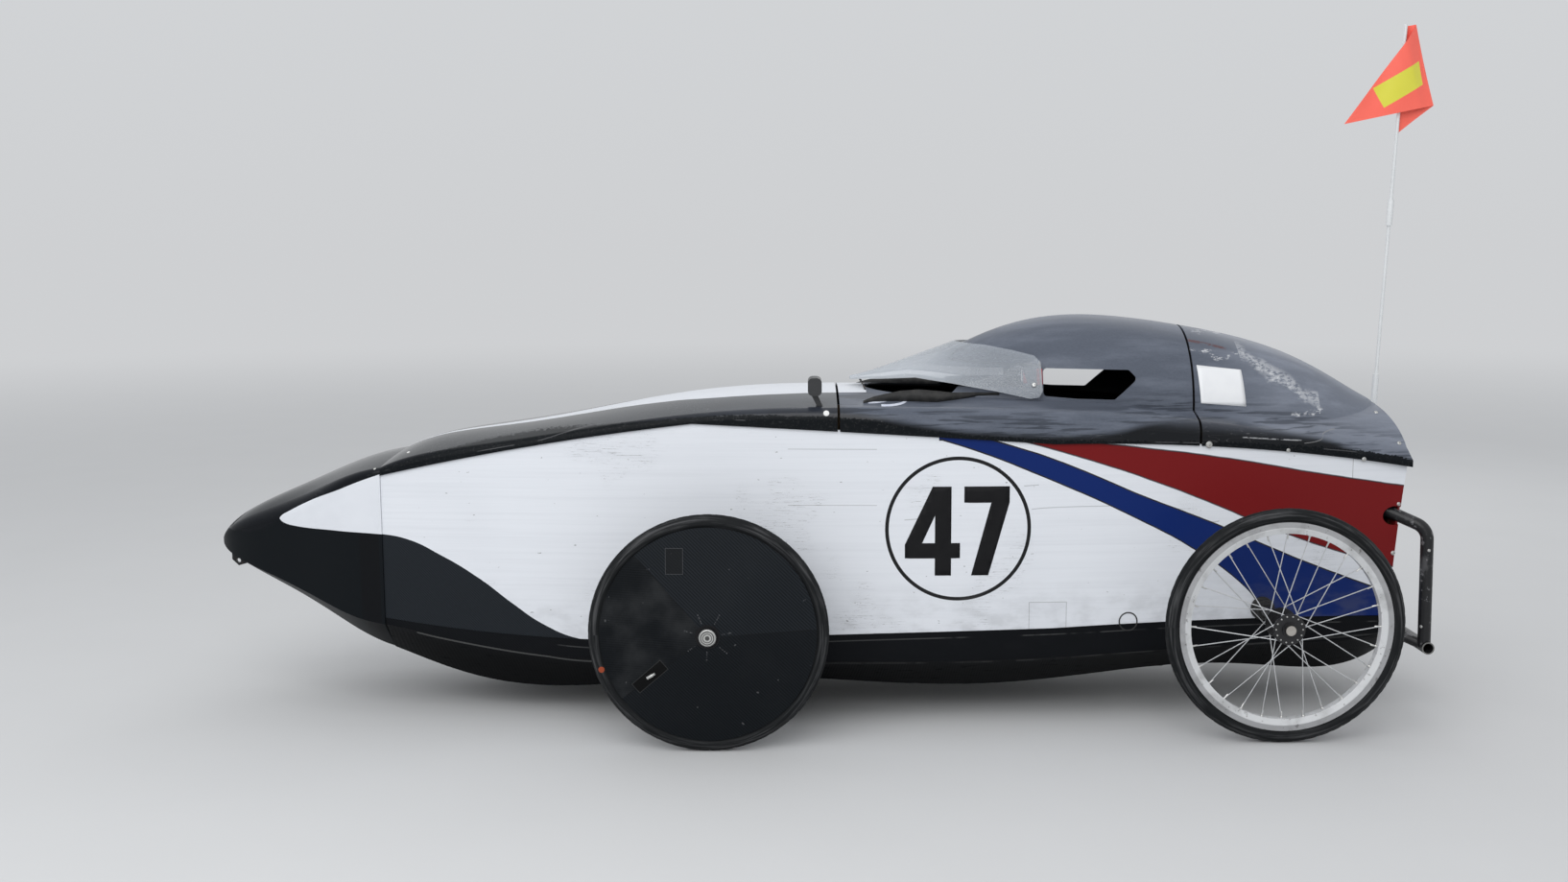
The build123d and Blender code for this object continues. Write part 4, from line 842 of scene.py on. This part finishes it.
# Transom and bulkhead: birch plywood. The transom is painted with the flanks; the bulkhead
# behind the rider is stained black, which also gives the painted shade seen through the seam
# between canopy and rear deck, and is worn to the wood in places.
TRANSOM_RED, TRANSOM_BLUE_HEAD = (0.31, 0.483), 0.25
HOLE_PLACE, HOLE_HALF = (0.15, 0.42), (0.032, 0.03)
transom, marks, height = boards("transom_boards")
transom.lay(marks, CRACK)
transom.lay((transom.z > TRANSOM_RED[0]) * (transom.z < TRANSOM_RED[1]), RED)
transom.lay(transom.z < TRANSOM_BLUE_HEAD, BLUE)
hole_y = (abs(transom.y) - HOLE_PLACE[0]) / HOLE_HALF[0]
from_hole = distance(hole_y, (transom.z - HOLE_PLACE[1]) / HOLE_HALF[1])
splinters = (from_hole - 1.0).within(0.22) * transom.noise(90.0, 3.0).over(0.44, 0.56)
transom.lay(splinters * 0.7, (0.36, 0.24, 0.14))
transom.coat(Roughness=0.42, Normal=transom.bump(height, 0.0007, 0.35))
transom.on("transom")
# black stain, also standing for the painted shade seen through the seam between canopy and rear deck
black_ply_and_seam_shade = Finish("black_plywood_and_seam_shade", (0.01, 0.009, 0.008))
grain = black_ply_and_seam_shade.noise(5.0, 6.0, by=(1, 20, 1.2))
black_ply_and_seam_shade.lay(grain, (0.03, 0.027, 0.024))
black_ply_and_seam_shade.lay(black_ply_and_seam_shade.noise(16.0, 5.0).over(0.6, 0.72) * 0.35, (0.13, 0.085, 0.05))
black_ply_and_seam_shade.coat(Roughness=0.55, Normal=black_ply_and_seam_shade.bump(grain, 0.0006, 0.4), Specular_IOR_Level=0.3)
black_ply_and_seam_shade.on("bulkhead")


# Seat: a bare carbon shell on two rails. A small foam pad in black cloth, sewn from two faces
# and glued to the bulkhead by its back, stops the rider's head.
seat = Finish("seat_weave", CARBON)
carbon(seat, seat.y, seat.x + seat.z)
seat.on("seat")
PAD_CELLS = 18
PAD_SHRINK = Vector((0.01, 0.02, 0.02))
PAD_RIM_THIN, PAD_CORNER_ROUND = 0.38, 0.07
PAD_VOXEL, PAD_PRESSURE, PAD_FRAMES, PAD_CAP, PAD_GLUED = 0.005, 4.0, 20, 0.009, 0.003
pad_low, pad_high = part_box("head_pad")
pad_size = pad_high - pad_low - PAD_SHRINK
pad_middle = (pad_low + pad_high) / 2
pad_middle.x = pad_high.x - pad_size.x / 2
pad_mesh = bmesh.new()
bmesh.ops.create_cube(pad_mesh, size=1)
bmesh.ops.subdivide_edges(pad_mesh, edges=pad_mesh.edges, cuts=PAD_CELLS, use_grid_fill=True)
for vert in pad_mesh.verts:
    u, v = 2 * vert.co.y, 2 * vert.co.z
    thin = 1 - PAD_RIM_THIN * max(abs(u), abs(v)) ** 4
    corner = 1 - PAD_CORNER_ROUND * (u * v) ** 2
    shaped = Vector((0.5 + (vert.co.x - 0.5) * thin, vert.co.y * corner, vert.co.z * corner))
    vert.co = pad_middle + shaped * pad_size
head_pad = solid("head_cushion", pad_mesh)


def swollen(piece, back_x):
    """Lets a sewn pad swell against its cloth, with its back face held where it is glued."""
    remesh = piece.modifiers.new("remesh", "REMESH")
    remesh.mode, remesh.voxel_size = "VOXEL", PAD_VOXEL
    shell = bpy.data.meshes.new_from_object(piece.evaluated_get(bpy.context.evaluated_depsgraph_get()))
    piece.modifiers.clear()
    piece.data = shell
    before = [vert.co.copy() for vert in shell.vertices]
    held = piece.vertex_groups.new(name="glued")
    held.add([vert.index for vert in shell.vertices if vert.co.x > back_x - PAD_GLUED], 1.0, "REPLACE")
    cloth = piece.modifiers.new("cloth", "CLOTH")
    cloth.settings.use_pressure = True
    cloth.settings.uniform_pressure_force = PAD_PRESSURE
    cloth.settings.vertex_group_mass = "glued"
    cloth.settings.effector_weights.gravity = 0
    for frame_number in range(1, PAD_FRAMES + 1):
        bpy.context.scene.frame_set(frame_number)
    relaxed = piece.evaluated_get(bpy.context.evaluated_depsgraph_get())
    after = [vert.co.copy() for vert in relaxed.data.vertices]
    piece.modifiers.clear()
    for vert, start, end in zip(shell.vertices, before, after):
        step = end - start
        vert.co = start + step * min(1, PAD_CAP / max(step.length, 1e-9))
        vert.co.x = min(vert.co.x, back_x)
    bpy.context.scene.frame_set(1)
    shell.shade_smooth()
    piece.modifiers.new("smooth", "SUBSURF").render_levels = 1


swollen(head_pad, pad_high.x)
pad_cloth = Finish("pad_cloth", (0.012, 0.012, 0.013))
threads = pad_cloth.node("ShaderNodeTexVoronoi", {}, Vector=pad_cloth.place, Scale=420.0)
pad_cloth.lay(threads * 0.8 + pad_cloth.noise(14.0) * 0.4, (0.042, 0.042, 0.045))
pad_cloth.coat(Roughness=0.85, Normal=pad_cloth.bump(threads, 0.0004, 0.5), Specular_IOR_Level=0.2)
fitted(head_pad, pad_cloth, "hull")
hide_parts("head_pad")


# Tyres: black rubber on twenty-inch rims, slick-shouldered with a shallow cut tread, and
# scuffed in streaks along the wheel's turn, most on the shoulder, where the pale streaks also
# stand for a painted highlight. One orange dot marks the left front tyre.
FRONT_AXLE, REAR_AXLE = -0.214, 0.918
AXLE_Z = 0.235
WHEELS = {}
for side, sign in SIDES.items():
    WHEELS["front", side] = Vector((FRONT_AXLE, sign * 0.42, AXLE_Z))
    WHEELS["rear", side] = Vector((REAR_AXLE, sign * 0.37, AXLE_Z))
TYRE_STEPS = 240
# radius, offset from the middle plane, and how deep the tread cuts there
TYRE_SECTION = [
    (0.2093, 0.0096, 0), (0.2125, 0.0103, 0), (0.215, 0.0126, 0), (0.219, 0.0139, 0), (0.2235, 0.0132, 0),
    (0.2275, 0.0112, 0.0004), (0.2312, 0.0082, 0.0011), (0.2337, 0.0046, 0.0012), (0.2348, 0.0016, 0.0004),
]
TREAD_EVERY = 4
DOT_PLACE, DOT_RADIUS = (-0.2085, -0.0687), 0.006


def from_axle(finish, axle_x):
    """Distance from an axle's line, the angle round it, and the run and rise from it."""
    run, rise = finish.x - axle_x, finish.z - AXLE_Z
    return distance(run, rise), rise.maths("ARCTAN2", run), run, rise


for kind, axle_x in (("front", FRONT_AXLE), ("rear", REAR_AXLE)):
    rubber = Finish(f"{kind}_tyre_rubber", (0.009, 0.01, 0.011))
    far, angle, run, rise = from_axle(rubber, axle_x)
    streaks = rubber.noise(1.6, 4.0, at=(far * 150, angle * 1.6, rubber.y * 90))
    # dust streaks, stronger on the shoulder, where they are also a painted highlight
    shoulder = far.over(0.214, 0.224) * (1 - far.over(0.23, 0.233))
    dust = streaks.over(0.42, 0.75) * (0.35 + shoulder * 0.75)
    rubber.lay(dust * 0.8, (0.075, 0.076, 0.079))
    if kind == "front":
        dot = distance(run - DOT_PLACE[0], rise - DOT_PLACE[1]) < DOT_RADIUS
        rubber.lay(dot * (rubber.y < -0.41), (0.27, 0.055, 0.025))
    rubber.coat(Roughness=0.58 + dust * 0.22, Normal=rubber.bump(rubber.noise(340.0, 2.0), 0.0003, 0.5),
                Specular_IOR_Level=BLACK_SPECULAR)
    for side, sign in SIDES.items():
        tyre_mesh = bmesh.new()
        rings = []
        section = TYRE_SECTION + [(r, -out, cut) for r, out, cut in reversed(TYRE_SECTION)]
        for i in range(TYRE_STEPS):
            turn = 2 * pi * i / TYRE_STEPS
            ring = []
            for number, (radius, out, cut) in enumerate(section):
                half_pitch = TREAD_EVERY // 2 if number >= len(TYRE_SECTION) else 0
                reach = radius - (cut if (i + half_pitch) % TREAD_EVERY == 0 else 0)
                spot = WHEELS[kind, side] + Vector((reach * cos(turn), sign * out, reach * sin(turn)))
                ring.append(tyre_mesh.verts.new(spot))
            rings.append(ring + ring[:1])
        woven(tyre_mesh, rings + rings[:1])
        bmesh.ops.recalc_face_normals(tyre_mesh, faces=tyre_mesh.faces)
        tyre = solid(f"tyre_{kind}_{side}", tyre_mesh)
        fitted(tyre, rubber, f"{kind}_wheel_{side}")
        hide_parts(f"{kind}_tyre_{side}")


# Rims: box-section alloy, black in front under the covers and silver behind, both with a
# brake track rubbed bright and grey with road grime.
RIM_METALS = {"front": (FRONT_AXLE, (0.009, 0.009, 0.01), (0.06, 0.06, 0.06)),
              "rear": (REAR_AXLE, (0.56, 0.57, 0.58), (0.34, 0.34, 0.35))}
for kind, (axle_x, metal, worn) in RIM_METALS.items():
    rim = Finish(f"{kind}_rim_metal", metal)
    far, angle, run, rise = from_axle(rim, axle_x)
    band = far.over(0.1975, 0.199)
    turning = rim.noise(1.0, 4.0, at=(far * 900, angle * 0.6, rim.y * 20))
    grime = rim.noise(22.0, 5.0).over(0.45, 0.7)
    chips = rim.noise(120.0, 3.0).over(0.64, 0.68)
    rim.lay(band * (0.45 + turning * 0.5), worn)
    rim.lay(grime * 0.35 + chips * 0.5, (0.11, 0.105, 0.1))
    rim.coat(Metallic=band * 0.6, Roughness=0.34 + turning * 0.2 + grime * 0.1)
    rim.on(f"{kind}_rim_left", f"{kind}_rim_right")


# Disc covers: two dished sheets of carbon cloth glued over each front wheel, laid up in three
# sectors with the cloth running another way in each. A slot gives reach to the valve.
SECTOR_ANGLES = (2.3, -2.5, 0.05)
PATCH_PLACE, PATCH_HALF, PATCH_EDGE = (-0.0637, 0.1465), (0.0171, 0.0253), 0.0008
SLOT_END, SLOT_AHEAD = Vector((-0.141, -0.105)), Vector((0.0553, 0.0487))
SLOT_HALF, SLOT_EDGE = 0.011, 0.0012
SLITS = 7
disc = Finish("disc_weave", (0.0012, 0.002, 0.0028))
far, angle, run, rise = from_axle(disc, FRONT_AXLE)
first = (angle > SECTOR_ANGLES[0]) + (angle < SECTOR_ANGLES[1]) > 0.5
second = (angle < SECTOR_ANGLES[0]) * (angle > SECTOR_ANGLES[2])
weave = wales(run, rise, 0.007) * (1 - first) + wales(rise, run * 0.05, 0.0045) * first * 0.6
seams = sum((angle - seam_angle).within(0.004) for seam_angle in SECTOR_ANGLES)
seams = seams * (far > 0.03) * (far < 0.2)
haze = disc.noise(9.0, 5.0).over(0.4, 0.8) * (0.1 + first * 0.9)
turning = disc.noise(1.0, 4.0, at=(far * 420, angle * 0.9, 0.0))
pitch = (angle * (SLITS / (2 * pi)) + 0.3).maths("FRACT")
hub_slits = (pitch - 0.5).within(0.03) * (far > 0.028) * (far < 0.05) * turning.over(0.48, 0.56)
patch_run, patch_rise = run - PATCH_PLACE[0], rise - PATCH_PLACE[1]
patch = patch_run.within(PATCH_HALF[0]) * patch_rise.within(PATCH_HALF[1])
patch_core = patch_run.within(PATCH_HALF[0] - PATCH_EDGE) * patch_rise.within(PATCH_HALF[1] - PATCH_EDGE)
slot_long, slot_way = SLOT_AHEAD.length / 2, SLOT_AHEAD.normalized()
from_end_run, from_end_rise = run - SLOT_END.x, rise - SLOT_END.y
down_slot = from_end_run * slot_way.x + from_end_rise * slot_way.y - slot_long
beside_slot = from_end_rise * slot_way.x - from_end_run * slot_way.y
valve_slot = down_slot.within(slot_long) * beside_slot.within(SLOT_HALF)
slot_rim = down_slot.within(slot_long + SLOT_EDGE) * beside_slot.within(SLOT_HALF + SLOT_EDGE)
nicks = disc.noise(70.0, 2.0) > 0.75
disc.lay(weave * (0.45 + second * 0.45), (0.017, 0.021, 0.026))
disc.lay(haze * 0.5, (0.042, 0.044, 0.046))
disc.lay(seams * 0.6, (0.003, 0.003, 0.003))
disc.lay(patch_core * 0.8, (0.008, 0.009, 0.01))
disc.lay((patch - patch_core) * 0.3, (0.18, 0.18, 0.19))
disc.lay((slot_rim - valve_slot) * 0.5, (0.05, 0.05, 0.05))
# the valve slot is painted near black: painted shade in the opening
disc.lay(valve_slot * 0.9, (0.002, 0.002, 0.002))
disc.lay(nicks * 0.22 + hub_slits * 0.28, (0.22, 0.22, 0.23))
disc.coat(Roughness=0.36 + haze * 0.2 + weave * 0.08, Specular_IOR_Level=BLACK_SPECULAR,
          Normal=disc.bump(weave + patch * 1.5 - seams - valve_slot * 4, 0.0003, 0.5))
disc.on("front_disc_left", "front_disc_right")

hub_metal = mottled("hub_silver", 180.0, (0.48, 0.48, 0.47), (0.68, 0.68, 0.66), 0.24, 0.22, detail=4.0,
                    Metallic=0.9)
hub_face = Finish("hub_face", (0.4, 0.4, 0.39))
far = from_axle(hub_face, FRONT_AXLE)[0]
hub_wear = hub_face.noise(180.0, 4.0)
rings = (far - 0.0125).within(0.0011) + (far - 0.0085).within(0.0009) > 0
covered = far > 0.0168
hub_face.lay(hub_wear, (0.62, 0.62, 0.6))
hub_face.lay(rings * 0.75 + (far < 0.0045) * 0.85, (0.02, 0.02, 0.02))
hub_face.lay(covered, (0.006, 0.006, 0.007))
hub_face.coat(Metallic=0.85 - covered * 0.85, Roughness=0.26 + hub_wear * 0.2 + covered * 0.15,
              Specular_IOR_Level=0.2, Normal=hub_face.bump(rings * -1.0, 0.0012))
hub_face.on("front_hub_left", "front_hub_right")
VALVE = [(0, 0.0), (0.0034, 0.0), (0.0034, 0.012), (0.0028, 0.0135), (0.0028, 0.019), (0, 0.0195)]
VALVE_PLACE = (-0.118, -0.083)
VALVE_WAY, VALVE_LIFT = Vector((0.0857, 0, 0.0563)), 0.0022
# how far outside a wheel a line towards it starts
OUTSIDE = 0.2
for side, sign in SIDES.items():
    where = WHEELS["front", side] + Vector((VALVE_PLACE[0], 0, VALVE_PLACE[1]))
    hit, normal = skin(f"front_disc_{side}", where + Vector((0, sign * OUTSIDE, 0)), (0, -sign, 0))
    lying = VALVE_WAY.normalized() * 0.8 + normal * 0.2
    stood(f"valve_{side}", turned(VALVE, 16), hit + normal * VALVE_LIFT, lying, hub_metal,
          f"front_wheel_{side}")


# Rear hubs: black alloy shells with drilled flanges, laced with crossed spokes of stainless
# wire. Plated nipples seat the spokes in the rim, and their heads show on the flanges.
HUB_SHELL = 0.0315
laced = Finish("hub_and_spokes", (0.5, 0.51, 0.52))
shell = from_axle(laced, REAR_AXLE)[0] < HUB_SHELL
tone = laced.noise(150.0, 3.0)
laced.lay(tone, (0.74, 0.75, 0.76))
laced.lay(shell, laced.mixed(tone, (0.008, 0.008, 0.009), (0.022, 0.022, 0.024)))
laced.coat(Metallic=0.85 - shell * 0.6, Roughness=0.3 + tone * 0.15)
laced.on("rear_hub_left", "rear_hub_right")
NIPPLE = [(0, 0.0), (0.003, 0.0), (0.003, 0.0015), (0.0018, 0.003), (0.0016, 0.011), (0.0008, 0.0125)]
SPOKE_HEAD = [(0, 0.0016), (0.0011, 0.0013), (0.0018, 0.0004), (0.0018, -0.0006)]
SPOKES_A_SIDE = 14
NIPPLE_SEAT, NIPPLE_OUT, HEAD_CIRCLE = 0.1862, 0.003, 0.026
for side in SIDES:
    hub = WHEELS["rear", side]
    seats = bmesh.new()
    for end in (-1, 1):
        for number in range(SPOKES_A_SIDE):
            turn = 2 * pi * (number + (end + 1) / 4) / SPOKES_A_SIDE
            outward, way = Vector((cos(turn), 0, sin(turn))), Vector((0, end, 0))
            flange, facing = skin(f"rear_hub_{side}", hub + outward * HEAD_CIRCLE + way * OUTSIDE, -way)
            seat_spot = hub + way * NIPPLE_OUT + outward * NIPPLE_SEAT
            for profile, spot, aim in ((NIPPLE, seat_spot, -outward), (SPOKE_HEAD, flange, facing)):
                one = turned(profile, 8)
                one.transform(Matrix.Translation(spot) @ aim.to_track_quat("Z", "Y").to_matrix().to_4x4())
                one_data = bpy.data.meshes.new("small_part")
                one.to_mesh(one_data)
                one.free()
                seats.from_mesh(one_data)
                bpy.data.meshes.remove(one_data)
    nipples = solid(f"nipples_{side}", seats)
    fitted(nipples, hub_metal, f"rear_wheel_{side}")


# Running gear: steel beam, knuckles, rods and axle, painted black and gone dusty. Lock nuts
# and rubber boots keep the rods' eyes and the bare ends of the rear axle.
chassis = Finish("chassis_paint", (0.008, 0.008, 0.009))
grime = chassis.noise(18.0, 5.0).over(0.4, 0.75)
chassis.lay(grime * 0.5, (0.045, 0.042, 0.038))
chassis.lay(chassis.noise(90.0, 3.0).over(0.66, 0.7) * 0.8, (0.12, 0.045, 0.018))
chassis.coat(Roughness=0.42 + grime * 0.25, Normal=chassis.bump(chassis.noise(220.0), 0.0002, 0.4),
             Specular_IOR_Level=0.3)
chassis.on("front_beam", "knuckle_left", "knuckle_right", "track_rod", "tiller_bearing", "tiller")
axle = Finish("axle_steel", (0.01, 0.01, 0.01))
axle_rust = axle.noise(60.0, 4.0)
bare = (abs(axle.y) > 0.402) * (from_axle(axle, REAR_AXLE)[0] < 0.0098)
axle.lay(axle_rust, (0.024, 0.022, 0.02))
axle.lay(bare, axle.mixed(axle_rust, (0.34, 0.31, 0.27), (0.55, 0.53, 0.5)))
axle.coat(Metallic=bare * 0.8, Roughness=0.36 + axle_rust * 0.2)
axle.on("rear_axle")
black_rubber.on("rear_boot_left", "rear_boot_right")


# Bumper: bent steel tube, brush-painted black and rubbed bright along its bends, with the
# open end of the cross tube cut square.
bumper = Finish("bumper_paint", (0.007, 0.007, 0.008))
rubbed = bumper.noise(3.0, 5.0, by=(9, 9, 5)).over(0.56, 0.66)
chips = bumper.noise(75.0, 4.0).over(0.61, 0.65)
cut_end = abs(bumper.y) > 0.205
bumper.lay(bumper.noise(12.0) * 0.6, (0.022, 0.023, 0.025))
bumper.lay(rubbed * 0.26 + chips * 0.5, (0.2, 0.2, 0.21))
bumper.lay(cut_end * 0.8, (0.24, 0.24, 0.23))
bumper.coat(Roughness=0.32 + rubbed * 0.15, Metallic=cut_end * 0.5, Specular_IOR_Level=0.35,
            Normal=bumper.bump(bumper.noise(60.0, 3.0), 0.0008, 0.3))
bumper.on("bumper")


# Mirror: a small moulded housing on a plastic stalk at the rider's left hand, with a flat glass
# that faces back.
mirror_black = Finish("mirror_plastic", (0.012, 0.013, 0.014))
fine = mirror_black.noise(500.0, 2.0)
mirror_black.lay(fine, (0.034, 0.035, 0.038))
mirror_black.coat(Roughness=0.4, Normal=mirror_black.bump(fine, 0.0002, 0.4), Specular_IOR_Level=0.4)
mirror_black.on("mirror")
silvered = mottled("mirror_glass", 60.0, (0.72, 0.74, 0.76), (0.82, 0.84, 0.85), 0.03, 0.06, detail=4.0,
                   Metallic=1.0)
# back of the glass, its middle, and half its size inside the round corners
GLASS_PLACE = Vector((0.0088, -0.236, 0.701))
GLASS_FLAT, GLASS_CORNER = Vector((0, 0.02, 0.0065)), 0.006
GLASS_THICKNESS = Vector((0.0024, 0, 0))
plate = bmesh.new()
rims = []
for middle in (GLASS_PLACE, GLASS_PLACE - GLASS_THICKNESS):
    rim = []
    for quarter, corner in enumerate(((0, 1, 1), (0, -1, 1), (0, -1, -1), (0, 1, -1))):
        for step in range(6):
            turn = radians(90 * quarter + 18 * step)
            rounding = Vector((0, cos(turn), sin(turn))) * GLASS_CORNER
            rim.append(plate.verts.new(middle + Vector(corner) * GLASS_FLAT + rounding))
    plate.faces.new(rim)
    rims.append(rim + rim[:1])
woven(plate, rims)
bmesh.ops.recalc_face_normals(plate, faces=plate.faces)
glass = solid("mirror_glass", plate)
fitted(glass, silvered, "hull")


# Flag: a white fibre pole in a short socket, and a pennant of orange nylon with a yellow
# reflecting band. The wind has wrapped the pennant once round the pole.
POLE_FOOT = Vector((1.21, 0.0, 0.64))
POLE_LEAN = Vector((25.0, 0.0, 581.0)).normalized()
pole = mottled("pole_fibre", 60.0, (0.55, 0.57, 0.58), (0.76, 0.77, 0.78), 0.36, detail=4.0, by=(1, 1, 0.2))
pole.on("flag_pole", "flag_socket")

HOIST_FOOT, HOIST_HEAD = 0.572, 0.797
FOLD_FOOT, FOLD_HEAD = Vector((1.312, 0, 1.272)), Vector((1.268, 0, 1.44))
TIP = Vector((1.119, 0, 1.233))
PENNANT_ROWS, PENNANT_COLUMNS = 28, 44
FOLD_SHARE = 0.27
hoist_low = POLE_FOOT + POLE_LEAN * HOIST_FOOT
hoist_high = POLE_FOOT + POLE_LEAN * HOIST_HEAD
BAND_MIDDLE, BAND_SLOPE = (1.243, 1.318), (0.86, 0.5)
BAND_HALF, BAND_START = 0.0235, -0.062
cloth = bmesh.new()
grid = []
for i in range(PENNANT_COLUMNS + 1):
    u = i / PENNANT_COLUMNS
    column = []
    for j in range(PENNANT_ROWS + 1):
        v = j / PENNANT_ROWS
        hoist = hoist_low.lerp(hoist_high, v)
        fold = FOLD_FOOT.lerp(FOLD_HEAD, v)
        share = u / FOLD_SHARE
        if share < 1:
            point = hoist.lerp(fold, share)
            depth = 0.004 + 0.004 * sin(share * pi)
        else:
            out = (u - FOLD_SHARE) / (1 - FOLD_SHARE)
            point = fold.lerp(TIP, out)
            depth = 0.004 - 0.015 * min(out * 6, 1) + 0.004 * sin(out * 9 + v * 3) * (1 - out)
        point.y = depth
        column.append(cloth.verts.new(point))
    grid.append(column)
woven(cloth, grid)
bmesh.ops.remove_doubles(cloth, verts=cloth.verts, dist=0.0003)
bmesh.ops.recalc_face_normals(cloth, faces=cloth.faces)
pennant = solid("pennant", cloth)
nylon = Finish("orange_nylon", (0.92, 0.13, 0.09))
run, rise = nylon.x - BAND_MIDDLE[0], nylon.z - BAND_MIDDLE[1]
across_band = rise * BAND_SLOPE[0] - run * BAND_SLOPE[1]
along_band = rise * BAND_SLOPE[1] + run * BAND_SLOPE[0]
band = across_band.within(BAND_HALF) * (along_band > BAND_START) * (nylon.y < 0.001)
nylon.lay(nylon.noise(12.0) * 0.5, (0.98, 0.19, 0.14))
nylon.lay(band, nylon.mixed(nylon.noise(9.0), (0.62, 0.58, 0.02), (0.75, 0.72, 0.1)))
nylon.coat(Roughness=0.55 - band * 0.2, Normal=nylon.bump(wales(nylon.x, nylon.z, 0.0016), 0.0002, 0.4))
fitted(pennant, nylon, "hull")
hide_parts("flag")
